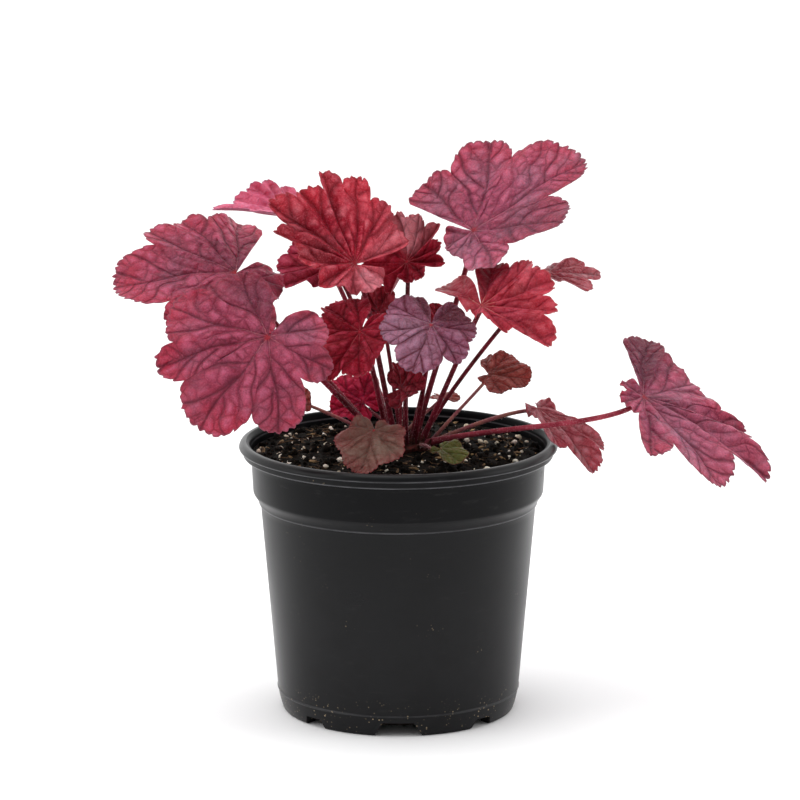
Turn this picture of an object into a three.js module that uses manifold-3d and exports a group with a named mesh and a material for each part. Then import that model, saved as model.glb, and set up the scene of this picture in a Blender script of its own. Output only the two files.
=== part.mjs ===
// A heuchera (coral bells) in its black nursery pot.
// Millimetres, +Z up. The origin is the centre of the pot's underside, on the surface it stands on.
// -Y is the side that the biggest low leaves lean to.
import * as THREE from 'three';
import { mergeVertices } from 'three/addons/utils/BufferGeometryUtils.js';
import Module from 'manifold-3d';

const wasm = await Module();
wasm.setup();

// ---------------------------------------------------------------- driving dimensions
const GAP = 0.3; // clearance between pieces that touch on the real plant

const POT_HEIGHT = 142;
const RIM_RADIUS = 82.6; // widest point of the rim, at its lower edge
const COLLAR_TOP = { r: 76.2, z: 131.8 };
const COLLAR_FOOT = { r: 75.3, z: 116.6 };
const WALL_TOP = { r: 71.5, z: 109.5 };
const WALL_FOOT = { r: 63.0, z: 10.5 };
const FOOT_RADIUS = 59.5; // outer edge of the ring that the pot stands on
const FOOT_RING_WIDTH = 5;
const CENTRE_DISC_RADIUS = 36; // flat middle of the underside, level with the foot ring
const CHANNEL_HEIGHT = 3; // the underside between disc and ring is this much higher
const WALL = 1.5; // thickness of the plastic
const FLOOR = 2;
const POT_SEGMENTS = 40;

const LARGE_NOTCH = { foot: 26, top: 16, height: 7.6, turn: 0 };
const SMALL_NOTCH = { foot: 15, top: 10, height: 5, turn: 45 };
const NOTCH_COUNT = 4; // of each size, evenly round the foot
const NOTCH_INNER_RADIUS = 47;
const NOTCH_OUTER_RADIUS = 70;

const SOIL_LEVEL = 135.5; // where the potting mix meets the wall
const SOIL_MOUND = 1.2; // how much higher it stands in the middle
const SOIL_LUMP = 0.7; // height of its lumps
const SOIL_SEGMENTS = 32;
const GRAIN_COUNT = 32; // perlite and bark grains that stand out of the mix
const GRAIN_SIZE = { small: 1.2, large: 2.0 };
const GRAIN_SINK = 0.1; // how far a grain's middle lies under the surface of the mix
const GRAIN_SEED = 7;

const CROWN = { x: 3, y: 8, radius: 17, top: 142.5, dome: 3.5, root: 118, rootRadius: 9 };
const CROWN_SEGMENTS = 20;

const BLADE_THICKNESS = 0.8;
const PETIOLE_SIDES = 6;
const PETIOLE_STEPS = 10;

// Edge of a blade: [angle from the midrib in degrees, reach as a share of the midrib] of the first
// cleft edge, then by turns of each lobe's tip and of the notch after it, up to the other cleft edge.
const SEVEN_LOBES = [
  [-171, 0.38], [-132, 0.58], [-108, 0.56], [-84, 0.76], [-64, 0.72], [-42, 0.90], [-21, 0.84],
  [0, 1.00],
  [21, 0.84], [42, 0.90], [64, 0.72], [84, 0.76], [108, 0.56], [132, 0.58], [171, 0.38],
];
const FIVE_LOBES = [
  [-171, 0.40], [-120, 0.58], [-90, 0.62], [-58, 0.84], [-29, 0.78],
  [0, 1.00],
  [29, 0.78], [58, 0.84], [90, 0.62], [120, 0.58], [171, 0.40],
];
const OVAL = [[-150, 0.12], [-70, 0.36], [-35, 0.74], [0, 0.96], [30, 0.92], [66, 0.68], [150, 0.15]];

// Sizes of blade by how finely they are drawn: the usual edge, the edge's steps from a notch to the
// tip of its lobe, and the rings of the blade's net from the edge inwards, each as a share of the
// reach with the number of edge points that one of its steps spans.
const LARGE = { edge: SEVEN_LOBES, steps: 4, rings: [[1, 1], [0.8, 1], [0.55, 2], [0.28, 4]] };
const MIDDLE = { edge: SEVEN_LOBES, steps: 4, rings: [[1, 1], [0.7, 2], [0.35, 4]] };
const SMALL = { edge: FIVE_LOBES, steps: 4, rings: [[1, 1], [0.7, 2], [0.35, 4]] };
const TINY = { edge: FIVE_LOBES, steps: 2, rings: [[1, 1], [0.7, 2], [0.35, 4]] };

// What a blade is when its row says nothing else. Angles are in degrees, the rest are shares of
// the midrib's length.
const PLAIN_BLADE = {
  roll: 0, // turn about the line from stalk to tip
  bend: 20, // droop along the midrib, over its length
  arch: 0, // droop of the sides; below zero the blade is a cup
  width: 1,
  tooth: 0.035, // height of the rounded teeth
  pleat: 0.05, // how far the blade stands up between its veins
  ruffle: [0.05, 5, 0], // height, number of waves and phase along the edge
  meet: 35, // angle between the end of the stalk and the blade's normal
  bow: [0, 0, 0], // millimetres that the middle of the stalk is moved by
};

// Each leaf: where the blade meets its stalk (at), the end of its midrib (tip), its edge where that
// isn't the usual one, where the stalk leaves the crown (from, measured from the crown's middle) and
// the stalk's radius.
const LEAVES = [
  { name: 'far_left', size: LARGE, color: '#a83a55', at: [-84.3, 22, 225.7], tip: [-145, 2, 219],
    roll: -35, bend: 22, arch: 12, ruffle: [0.03, 7, 0],
    edge: [[-130, 0.60], [-112, 0.72], [-84, 0.62], [-72, 0.74], [-60, 0.70], [-44, 0.82], [-32, 0.70],
      [-4, 1.00], [22, 0.70], [36, 0.84], [56, 0.64], [84, 0.72], [116, 0.40], [160, 0.40], [208, 0.26]],
    from: [-14, 0], stalk: 1.45 },
  { name: 'front_left', size: LARGE, color: '#a43a58', at: [-65, -62, 208.6], tip: [-103.7, -78, 173.8],
    roll: -55, bend: 20, arch: 15, ruffle: [0.03, 6, 0],
    edge: [[-142, 0.40], [-112, 0.70], [-84, 0.74], [-62, 0.95], [-40, 0.88], [-31, 1.06], [-16, 0.88],
      [10, 1.06], [34, 0.76], [52, 0.90], [82, 0.50], [108, 0.66], [126, 0.50], [152, 0.56], [186, 0.26]],
    from: [-12, -7], stalk: 1.5 },
  { name: 'back_left', size: LARGE, color: '#b0506a', at: [-52.7, 34, 254.2], tip: [-95.1, 27, 257.7],
    roll: -10, bend: 10, arch: -115, ruffle: [0.03, 6, 0],
    edge: [[-150, 0.20], [-108, 0.40], [-92, 0.38], [-76, 0.50], [-66, 0.48], [-54, 0.64], [-48, 0.62],
      [-40, 0.71], [-30, 0.69], [-22, 0.78], [-12, 0.78], [0, 1.02], [8, 0.80], [24, 0.66], [36, 0.46],
      [56, 0.40], [84, 0.28], [112, 0.30], [150, 0.20]],
    from: [-8, 10], stalk: 1.3, bow: [8, 5, 0] },
  { name: 'upper_middle', size: LARGE, color: '#a82c38', at: [-22.1, -12, 236.6], tip: [-64.3, -8, 270],
    roll: -60, bend: -10, arch: -20, pleat: 0.09, ruffle: [0.08, 6, 210],
    edge: [[-128, 0.28], [-118, 0.56], [-94, 0.54], [-78, 0.66], [-66, 0.64], [-56, 0.84], [-44, 0.81],
      [-31, 0.93], [-28, 0.78], [-15, 0.86], [-9, 0.86], [1, 0.99], [8, 0.76], [16, 0.81], [20, 0.62],
      [36, 0.56], [50, 0.36], [68, 0.38], [88, 0.32], [120, 0.29], [138, 0.27], [156, 0.33], [206, 0.28]],
    from: [-5, 1], stalk: 1.5 },
  { name: 'hidden_left', size: MIDDLE, color: '#8a2846', at: [-34.3, 14, 230.3], tip: [-62.6, 9, 230.7],
    roll: -52,
    edge: [[-171, 0.30], [-130, 0.45], [-104, 0.45], [-76, 0.66], [-60, 0.64], [-36, 0.84], [-20, 0.84],
      [-2, 1.00], [12, 0.92], [25, 0.98], [31, 0.60], [46, 0.54], [58, 0.36], [90, 0.28], [130, 0.26],
      [155, 0.30], [171, 0.25]],
    from: [-9.5, 5.5], stalk: 1.2, bow: [6, 0, 0] },
  { name: 'ruffled_middle', size: MIDDLE, color: '#9c2430', at: [4.5, 15, 232.8], tip: [23.5, 2, 240.4],
    roll: 60, bend: -10, arch: -45, pleat: 0.12, ruffle: [0.12, 7, 0],
    edge: [[-176, 0.60], [-152, 1.05], [-134, 0.62], [-114, 0.80], [-98, 0.46], [-80, 0.60], [-62, 0.52],
      [-42, 0.90], [-28, 0.70], [-12, 0.96], [-2, 0.86], [10, 1.02], [23, 0.78], [35, 1.06], [48, 0.94],
      [60, 1.12], [78, 0.98], [94, 1.08], [116, 0.70], [142, 0.95], [168, 0.60]],
    from: [0.5, 1.5], stalk: 1.3 },
  { name: 'upper_right', size: LARGE, color: '#a04468', at: [38.8, 24, 247.5], tip: [98.4, 30, 280],
    roll: 28, bend: 10, arch: -30, ruffle: [0.02, 6, 0],
    edge: [[-232, 0.21], [-186, 0.25], [-124, 0.27], [-90, 0.58], [-66, 0.44], [-40, 0.83], [-11, 0.62],
      [4, 1.00], [40, 0.72], [54, 0.83], [82, 0.62], [102, 0.70], [118, 0.66]],
    from: [6.5, 2.5], stalk: 1.5 },
  { name: 'bright_red', size: LARGE, color: '#b82c3a', at: [42.1, -23, 216.9], tip: [74.8, -51, 201.3],
    roll: 28, bend: 20, arch: -20, pleat: 0.08, ruffle: [0.05, 6, 0],
    edge: [[-217, 0.34], [-190, 0.82], [-168, 0.30], [-100, 0.14], [-24, 0.28], [-13, 0.51], [-6, 0.55],
      [2, 1.02], [19, 0.78], [31, 0.86], [45, 0.71], [57, 0.84], [74, 0.72], [88, 0.78], [102, 0.65],
      [120, 0.70], [138, 0.56]],
    from: [10, -4.5], stalk: 1.4 },
  { name: 'back_right', size: MIDDLE, color: '#a05060', at: [76.9, 26, 225], tip: [105.2, 30, 223.7],
    roll: 12, bend: 10, ruffle: [0.1, 3, 0],
    edge: [[-130, 0.15], [-72, 0.56], [-62, 0.64], [-48, 0.98], [-18, 0.76], [-4, 1.00], [10, 0.74],
      [26, 0.76], [40, 0.58], [56, 0.52], [80, 0.36], [110, 0.30], [150, 0.15]],
    from: [10.5, 7.5], stalk: 1.2, bow: [-3, 0, 0] },
  { name: 'purple_grey', size: LARGE, color: '#7d566c', at: [16.5, -50, 212.4], tip: [8.4, -69, 192.8],
    roll: -18, bend: 20, arch: 10,
    edge: [[-163, 0.43], [-148, 0.78], [-134, 0.75], [-108, 0.87], [-92, 0.80], [-60, 0.90], [-36, 0.78],
      [0, 1.03], [33, 0.74], [50, 0.90], [76, 0.76], [98, 0.80], [120, 0.76], [156, 0.70], [180, 0.26]],
    from: [5.5, -8.5], stalk: 1.3 },
  { name: 'front_middle', size: MIDDLE, color: '#9e2836', at: [-19.4, -30, 204.8], tip: [-24, -46, 184.8],
    pleat: 0.08, ruffle: [0.05, 6, 0],
    edge: [[-188, 0.54], [-163, 0.93], [-148, 0.90], [-128, 1.10], [-114, 0.88], [-96, 0.86], [-66, 0.72],
      [-22, 1.16], [-13, 0.94], [8, 1.00], [36, 0.78], [70, 0.62], [104, 0.44], [150, 0.62], [164, 0.40]],
    from: [-8, -3.5], stalk: 1.4 },
  { name: 'dark_middle', size: SMALL, color: '#7a1c2a', at: [-10.5, 15, 206.5], tip: [-4.5, 12, 220],
    roll: 90, from: [-2, 6], stalk: 1.1 },
  { name: 'low_back', size: SMALL, color: '#a82450', at: [-19, 40, 153], tip: [-34, 50, 163],
    roll: -40, from: [-4, 13.5], stalk: 1.0, meet: 50 },
  { name: 'young_curled', size: MIDDLE, color: '#6c1824', at: [1, -25, 174.7], tip: [13.5, -33, 180.7],
    roll: 60, arch: -50, width: 1.15, ruffle: [0.12, 6, 0], from: [1.5, -11], stalk: 1.0 },
  { name: 'small_right', size: SMALL, color: '#7c483f', at: [47, 10, 174.6], tip: [68.1, 2, 172.6],
    roll: 28, bend: 15,
    edge: [[-150, 0.22], [-112, 0.30], [-78, 0.44], [-50, 0.84], [-27, 0.80], [0, 1.00], [40, 0.76],
      [76, 0.80], [100, 0.62], [118, 0.72], [136, 0.40]],
    from: [15.5, 2], stalk: 0.9 },
  { name: 'low_front', size: SMALL, color: '#7e5450', at: [-12.3, -48, 157.8], tip: [-16.2, -66, 140.3],
    bend: 10,
    edge: [[-158, 0.20], [-108, 0.52], [-86, 0.58], [-60, 0.82], [-38, 0.86], [-4, 1.04], [16, 0.94],
      [42, 0.88], [60, 0.80], [82, 0.66], [106, 0.46], [132, 0.32], [166, 0.14]],
    from: [-6, -13], stalk: 1.1 },
  { name: 'olive', size: TINY, color: '#6a6c30', at: [21.5, -42, 147], tip: [32, -54, 142],
    roll: 10, edge: OVAL, tooth: 0.01, from: [8, -14], stalk: 0.8, meet: 60 },
  { name: 'drooping_right', size: LARGE, color: '#963856', at: [126.6, 0, 164.6], tip: [189.5, -20, 125.4],
    roll: 20, bend: 25, arch: -5, pleat: 0.08, ruffle: [0, 1, 0],
    edge: [[-232, 0.14], [-202, 0.20], [-174, 0.12], [-120, 0.17], [-74, 0.24], [-58, 0.62], [-43, 0.52],
      [-27, 0.88], [-9, 0.70], [0, 1.00], [10, 0.76], [18, 0.74], [26, 0.54], [60, 0.43], [98, 0.50],
      [113, 0.66], [128, 0.60]],
    from: [13, -8.5], stalk: 1.45, bow: [0, -20, -0.5], meet: 32 },
  { name: 'drooping_small', size: SMALL, color: '#96505a', at: [72.7, 12, 156.1], tip: [103.4, -5, 128.1],
    roll: 8, bend: 30,
    edge: [[-160, 0.12], [-100, 0.18], [-60, 0.32], [-32, 0.64], [-18, 0.64], [-4, 1.02], [8, 0.84],
      [15, 0.88], [30, 0.44], [90, 0.24], [140, 0.12]],
    from: [16, -3.5], stalk: 1.1, meet: 70 },
  { name: 'small_left', size: TINY, color: '#6e4840', at: [-51, 10, 159], tip: [-55, 13, 170],
    roll: -90, from: [-15, 4.5], stalk: 0.9 },
  { name: 'small_back', size: TINY, color: '#5a3430', at: [22, 31, 158.5], tip: [31, 23, 157.5],
    from: [1, 13], stalk: 0.8 },
  { name: 'young_behind', size: TINY, color: '#6c1c30', at: [20, 10, 200.5], tip: [19.5, 16, 211],
    from: [4, -2.5], stalk: 0.9 },
  { name: 'young_upright', size: TINY, color: '#6c1424', at: [1.5, 4, 172.5], tip: [1.5, 7, 181.5],
    from: [-2, -6], stalk: 0.9 },
];

// ---------------------------------------------------------------- helpers
const radians = THREE.MathUtils.degToRad;

function material(color, roughness) {
  return new THREE.MeshStandardMaterial({ color, roughness, metalness: 0 });
}

function piece(name, geometry, color, roughness) {
  const mesh = new THREE.Mesh(geometry, material(color, roughness));
  mesh.name = name;
  return mesh;
}

// A geometry with its shared vertices merged, as a solid for cutting and joining.
function toSolid(geometry) {
  const bare = geometry.index ? geometry.toNonIndexed() : geometry.clone();
  bare.deleteAttribute('normal');
  bare.deleteAttribute('uv');
  const merged = mergeVertices(bare, 1e-4);
  return new wasm.Manifold(new wasm.Mesh({
    numProp: 3,
    vertProperties: new Float32Array(merged.attributes.position.array),
    triVerts: new Uint32Array(merged.index.array),
  }));
}

function toGeometry(solid) {
  const mesh = solid.getMesh();
  const geometry = new THREE.BufferGeometry();
  geometry.setAttribute('position', new THREE.BufferAttribute(mesh.vertProperties, 3));
  geometry.setIndex(new THREE.BufferAttribute(mesh.triVerts, 1));
  return geometry;
}

// A solid of revolution about +Z from a list of [radius, height] pairs.
function turned(profile, segments) {
  const points = profile.map(([r, z]) => new THREE.Vector2(r, z));
  return new THREE.LatheGeometry(points, segments).rotateX(Math.PI / 2);
}

// A small repeatable random sequence, between 0 and 1.
function randomFrom(seed) {
  let state = seed;
  return () => {
    state = (state * 16807) % 2147483647;
    return state / 2147483647;
  };
}

// ---------------------------------------------------------------- the pot
// The pot's section: under the floor, up the outside over the bead and the rim, and down the inside.
function potProfile() {
  const foot = FOOT_RADIUS - FOOT_RING_WIDTH;
  const underside = [
    [0, 0],
    [CENTRE_DISC_RADIUS, 0],
    [CENTRE_DISC_RADIUS + 2, CHANNEL_HEIGHT],
    [foot - 2, CHANNEL_HEIGHT],
    [foot, 0],
    [FOOT_RADIUS, 0],
  ];
  const outside = [
    [61.2, 2],
    [62.4, 6],
    [WALL_FOOT.r, WALL_FOOT.z],
    [WALL_TOP.r, WALL_TOP.z],
    [72.8, 112.6],
    [74.4, 114.8],
    [COLLAR_FOOT.r, COLLAR_FOOT.z],
    [COLLAR_TOP.r, COLLAR_TOP.z],
    [77.9, 133],
    [77.2, 135.2],
    [81.8, 136],
    [RIM_RADIUS, 137.3],
    [81.9, 140.6],
    [80.4, POT_HEIGHT],
    [77.8, POT_HEIGHT],
    [76.6, 140.8],
  ];
  return [...underside, ...outside, ...insideProfile(0)];
}

// The inner face of the pot from the rim down to the middle of the floor, drawn in by a clearance.
function insideProfile(clearance) {
  const foot = FOOT_RADIUS - FOOT_RING_WIDTH;
  const roof = CHANNEL_HEIGHT + FLOOR + clearance;
  return [
    [76.2 - clearance, 136],
    [COLLAR_TOP.r - WALL - clearance, COLLAR_TOP.z],
    [COLLAR_FOOT.r - WALL - clearance, COLLAR_FOOT.z],
    [WALL_TOP.r - WALL - clearance, WALL_TOP.z],
    [WALL_FOOT.r - WALL - clearance, WALL_FOOT.z],
    [foot + 3 - clearance, roof],
    [CENTRE_DISC_RADIUS + 2.4 - clearance, roof],
    [CENTRE_DISC_RADIUS - clearance, FLOOR + clearance],
    [0, FLOOR + clearance],
  ];
}

// One drain notch's cutter: a trapezium across the wall, pushed through it along the radius.
function notchCutter({ foot, top, height }, angle) {
  const outline = new THREE.Shape();
  outline.moveTo(-foot / 2, -1);
  outline.lineTo(foot / 2, -1);
  outline.lineTo(top / 2, height);
  outline.lineTo(-top / 2, height);
  outline.closePath();
  const depth = NOTCH_OUTER_RADIUS - NOTCH_INNER_RADIUS;
  const cutter = new THREE.ExtrudeGeometry(outline, { depth, bevelEnabled: false });
  cutter.translate(0, 0, NOTCH_INNER_RADIUS);
  cutter.rotateX(Math.PI / 2);
  return cutter.rotateZ(radians(angle));
}

function pot() {
  let solid = toSolid(turned(potProfile(), POT_SEGMENTS));
  for (const notch of [LARGE_NOTCH, SMALL_NOTCH]) {
    for (let i = 0; i < NOTCH_COUNT; i += 1) {
      const angle = notch.turn + (i * 360) / NOTCH_COUNT;
      solid = solid.subtract(toSolid(notchCutter(notch, angle)));
    }
  }
  return piece('pot', toGeometry(solid), '#2b2b2d', 0.5);
}

// ---------------------------------------------------------------- potting mix
// Height of the mix at a place, with its mound and lumps. The lumps fade out at the wall.
function soilHeight(x, y) {
  const r = Math.hypot(x, y);
  const edge = 74;
  const inside = Math.max(0, 1 - (r / edge) ** 2);
  const lumps = Math.sin(x / 5.6 + 1.3) * Math.cos(y / 5.1) + 0.6 * Math.sin(x / 8.9 - y / 7.3);
  return SOIL_LEVEL + SOIL_MOUND * inside + SOIL_LUMP * lumps * Math.min(1, 4 * inside);
}

function soilBody() {
  const walls = insideProfile(GAP).slice(1).reverse();
  const rings = [64, 52, 40, 28, 14];
  const edge = 75.6 - GAP;
  const surface = [[edge, SOIL_LEVEL], ...rings.map((r) => [r, SOIL_LEVEL]), [0, SOIL_LEVEL]];
  const body = turned([...walls, ...surface], SOIL_SEGMENTS);
  const place = body.attributes.position;
  for (let i = 0; i < place.count; i += 1) {
    const isTop = place.getZ(i) > SOIL_LEVEL - 0.01;
    if (isTop) place.setZ(i, soilHeight(place.getX(i), place.getY(i)));
  }
  return toSolid(body);
}

// A faceted grain of perlite or bark, half sunk in the mix.
function grain(random, x, y) {
  const size = GRAIN_SIZE.small + (GRAIN_SIZE.large - GRAIN_SIZE.small) * random();
  const shape = new THREE.IcosahedronGeometry(size, 0);
  shape.scale(1, 0.7 + 0.4 * random(), 0.75);
  shape.rotateZ(random() * Math.PI);
  shape.translate(x, y, soilHeight(x, y) - GRAIN_SINK);
  return toSolid(shape);
}

function pottingMix() {
  const random = randomFrom(GRAIN_SEED);
  let solid = soilBody();
  const clear = CROWN.radius + 5;
  for (let placed = 0; placed < GRAIN_COUNT;) {
    const angle = random() * 2 * Math.PI;
    const r = 70 * Math.sqrt(random());
    const x = r * Math.cos(angle);
    const y = r * Math.sin(angle);
    if (Math.hypot(x - CROWN.x, y - CROWN.y) > clear) {
      solid = solid.add(grain(random, x, y));
      placed += 1;
    }
  }
  solid = solid.subtract(toSolid(crownGeometry(GAP)));
  return piece('potting_mix', toGeometry(solid), '#1c130e', 0.95);
}

// ---------------------------------------------------------------- crown
function crownTop(r) {
  return CROWN.top - CROWN.dome * (r / CROWN.radius) ** 2;
}

// The woody stock, grown by a clearance for the hole that it stands in.
function crownGeometry(clearance) {
  const { radius, root, rootRadius } = CROWN;
  const profile = [
    [0, root - clearance],
    [rootRadius + clearance, root - clearance],
    [radius + clearance, crownTop(radius) - 6],
    [radius + clearance, crownTop(radius) + clearance],
    [radius * 0.75, crownTop(radius * 0.75) + clearance],
    [radius * 0.4, crownTop(radius * 0.4) + clearance],
    [0, CROWN.top + clearance],
  ];
  return turned(profile, CROWN_SEGMENTS).translate(CROWN.x, CROWN.y, 0);
}

function crown() {
  return piece('crown', crownGeometry(0), '#3a2018', 0.9);
}

// ---------------------------------------------------------------- blades
// The blade's own axes: x along the midrib at the stalk, z out of its upper face. The chord from
// stalk to tip is kept, so the midrib starts half the bend above it.
function bladeFrame(leaf) {
  const at = new THREE.Vector3(...leaf.at);
  const chord = new THREE.Vector3(...leaf.tip).sub(at);
  const x = chord.clone().normalize();
  const y = new THREE.Vector3(0, 0, 1).cross(x).normalize();
  y.applyAxisAngle(x, radians(leaf.roll));
  const half = radians(leaf.bend) / 2;
  x.applyAxisAngle(y, -half);
  const z = x.clone().cross(y);
  const length = chord.length() * (half === 0 ? 1 : half / Math.sin(half));
  return { at, x, y, z, length };
}

// Reach of the edge some way from a lobe's tip (0) to its notch (1): round at the tip, steep at the notch.
function edgeReach(tip, notch, away) {
  return notch + (tip - notch) * (1 - away ** 2.5);
}

// The points of the blade's edge: angle from the midrib, reach as a share of its length, and how far
// from a lobe's tip to its notch the point is.
function bladeEdge(leaf) {
  const edge = leaf.edge ?? leaf.size.edge;
  const { steps } = leaf.size;
  const points = [];
  for (let tip = 1; tip < edge.length; tip += 2) {
    const [tipAngle, tipReach] = edge[tip];
    for (let k = 0; k < 2 * steps; k += 1) {
      const [angle, reach] = edge[k < steps ? tip - 1 : tip + 1];
      const away = Math.abs(k / steps - 1);
      const dips = k % 2 === 0 && k !== steps;
      points.push({
        angle: tipAngle + (angle - tipAngle) * away,
        reach: edgeReach(tipReach, reach, away) * (1 + leaf.tooth * (dips ? -0.6 : 0.4)),
        away,
      });
    }
  }
  const [angle, reach] = edge[edge.length - 1];
  points.push({ angle, reach, away: 1 });
  return points;
}

// A point of the blade's middle surface, in shares of its length and in the blade's own axes.
function bladePoint(leaf, edge, share) {
  const turn = radians(edge.angle);
  const reach = edge.reach * share;
  const [height, waves, phase] = leaf.ruffle;
  let along = reach * Math.cos(turn);
  let across = reach * Math.sin(turn) * leaf.width;
  let up = leaf.pleat * reach * (0.5 - 0.5 * Math.cos(Math.PI * edge.away));
  up += height * share ** 3 * Math.sin(waves * turn + radians(phase));
  [across, up] = curled(across, up, radians(leaf.arch));
  [along, up] = curled(along, up, radians(leaf.bend));
  return [along, across, up];
}

// Bends a flat strip downwards into an arc of a given angle for each unit of its length.
function curled(run, up, angle) {
  if (angle === 0) return [run, up];
  const turn = angle * run;
  return [Math.sin(turn) / angle + up * Math.sin(turn), up * Math.cos(turn) - (1 - Math.cos(turn)) / angle];
}

// Triangles between two neighbouring rings, the outer one with as many or twice as many points.
function ringTriangles(outer, inner) {
  const triangles = [];
  const step = (outer.length - 1) / (inner.length - 1);
  for (let k = 0; k + 1 < inner.length; k += 1) {
    const near = outer.slice(k * step, (k + 1) * step + 1);
    const middle = near[Math.floor(near.length / 2)];
    triangles.push([inner[k], near[0], middle]);
    triangles.push([inner[k], middle, inner[k + 1]]);
    if (step === 2) triangles.push([inner[k + 1], middle, near[2]]);
  }
  return triangles;
}

// The net of the blade: its points, the triangles of the upper face, and the loop round its edge.
function bladeNet(leaf) {
  const frame = bladeFrame(leaf);
  const edge = bladeEdge(leaf);
  const points = [];
  const place = (local) => {
    const [a, b, c] = local.map((value) => value * frame.length);
    const point = frame.at.clone().addScaledVector(frame.x, a);
    point.addScaledVector(frame.y, b).addScaledVector(frame.z, c);
    return points.push(point) - 1;
  };
  const rings = leaf.size.rings.map(([share, span]) => edge
    .filter((_, i) => i % span === 0)
    .map((point) => place(bladePoint(leaf, point, share))));
  const middle = place([0, 0, 0]);
  const triangles = [];
  rings.slice(1).forEach((ring, i) => triangles.push(...ringTriangles(rings[i], ring)));
  const innermost = rings[rings.length - 1];
  innermost.slice(1).forEach((point, i) => triangles.push([middle, innermost[i], point]));
  const ends = rings.map((ring) => ring[ring.length - 1]);
  const starts = rings.map((ring) => ring[0]);
  const loop = [...rings[0], ...ends.slice(1), middle, ...starts.slice(1).reverse()];
  return { points, triangles, loop, frame };
}

// Outward direction at each point, from the faces round it.
function netNormals({ points, triangles }) {
  const normals = points.map(() => new THREE.Vector3());
  const face = new THREE.Triangle();
  for (const corners of triangles) {
    face.set(...corners.map((i) => points[i]));
    const normal = face.getNormal(new THREE.Vector3()).multiplyScalar(face.getArea());
    corners.forEach((i) => normals[i].add(normal));
  }
  return normals.map((normal) => normal.normalize());
}

// A closed blade: the net lifted and lowered by half the thickness, joined round its edge.
function bladeGeometry(net) {
  const { points, triangles, loop } = net;
  const normals = netNormals(net);
  const half = BLADE_THICKNESS / 2;
  const upper = points.map((point, i) => point.clone().addScaledVector(normals[i], half));
  const lower = points.map((point, i) => point.clone().addScaledVector(normals[i], -half));
  const count = points.length;
  const index = [];
  for (const [a, b, c] of triangles) index.push(a, b, c, count + a, count + c, count + b);
  loop.forEach((a, i) => {
    const b = loop[(i + 1) % loop.length];
    index.push(a, count + a, b, b, count + a, count + b);
  });
  const geometry = new THREE.BufferGeometry().setFromPoints([...upper, ...lower]);
  return geometry.setIndex(index);
}

// ---------------------------------------------------------------- stalks
// A round stalk from the crown's dome to the underside of its blade.
function petioleGeometry(leaf, frame) {
  const [dx, dy] = leaf.from;
  const bow = new THREE.Vector3(...leaf.bow);
  const meet = radians(leaf.meet);
  const out = new THREE.Vector3(dx, dy, CROWN.radius * 1.5).normalize();
  const foot = crownTop(Math.hypot(dx, dy)) + GAP + leaf.stalk * Math.hypot(out.x, out.y);
  const start = new THREE.Vector3(CROWN.x + dx, CROWN.y + dy, foot);
  const under = BLADE_THICKNESS / 2 + GAP + 0.1 + leaf.stalk * Math.sin(meet);
  const end = frame.at.clone().addScaledVector(frame.z, -under);
  const chord = end.clone().sub(start);
  const reach = chord.length();
  const leave = chord.clone().normalize().addScaledVector(out, 0.3).normalize();
  const arrive = frame.z.clone().multiplyScalar(Math.cos(meet)).addScaledVector(frame.x, Math.sin(meet));
  const curve = new THREE.CubicBezierCurve3(
    start,
    start.clone().addScaledVector(leave, reach * 0.35).add(bow),
    end.clone().addScaledVector(arrive, -reach * 0.18).add(bow),
    end,
  );
  const section = new THREE.Shape();
  section.absarc(0, 0, leaf.stalk, 0, 2 * Math.PI);
  const outline = new THREE.Shape(section.getPoints(PETIOLE_SIDES / 2).slice(0, -1));
  return new THREE.ExtrudeGeometry(outline, { steps: PETIOLE_STEPS, extrudePath: curve });
}

function leafPieces(row) {
  const leaf = { ...PLAIN_BLADE, ...row };
  const net = bladeNet(leaf);
  const group = new THREE.Group();
  group.add(piece(`leaf_${leaf.name}_blade`, bladeGeometry(net), leaf.color, 0.55));
  group.add(piece(`leaf_${leaf.name}_petiole`, petioleGeometry(leaf, net.frame), '#6e1c2e', 0.6));
  return group;
}

// ---------------------------------------------------------------- the plant in its pot
const heuchera = new THREE.Group();
heuchera.add(pot(), pottingMix(), crown());
for (const row of LEAVES) heuchera.add(leafPieces(row));

export default heuchera;
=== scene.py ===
from math import atan2, cos, hypot, pi, radians, sin, sqrt

import bmesh
import bpy
import numpy as np
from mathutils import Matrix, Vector


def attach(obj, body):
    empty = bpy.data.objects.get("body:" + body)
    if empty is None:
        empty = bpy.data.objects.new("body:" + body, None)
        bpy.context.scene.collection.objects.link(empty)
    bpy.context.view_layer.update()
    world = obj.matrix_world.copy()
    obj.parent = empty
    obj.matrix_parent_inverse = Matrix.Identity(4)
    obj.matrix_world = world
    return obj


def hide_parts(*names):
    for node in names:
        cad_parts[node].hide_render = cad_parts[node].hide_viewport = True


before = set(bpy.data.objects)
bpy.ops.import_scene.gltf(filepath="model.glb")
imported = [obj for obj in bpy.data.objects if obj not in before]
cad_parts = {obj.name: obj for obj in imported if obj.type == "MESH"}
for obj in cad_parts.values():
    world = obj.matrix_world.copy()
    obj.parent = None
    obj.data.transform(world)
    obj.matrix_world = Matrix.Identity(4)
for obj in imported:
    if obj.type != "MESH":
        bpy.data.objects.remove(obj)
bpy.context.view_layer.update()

MM = 0.001
VEIN_LEAN = 1.5  # side veins run this much further along the lobe than across it
PATTERN = 14  # spacing of side veins, in millimetres, at which a blade's pattern has its full size
HALF_LEAF = 0.25  # half the thickness of a drawn blade at its heart
HAIR_LONG, HAIR_THICK, HAIRS_PER_MM = 0.75, 0.05, 5
STALK_SIDES = 12
STREWN = 74  # lumps lie within this radius
SEED = 11

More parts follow.
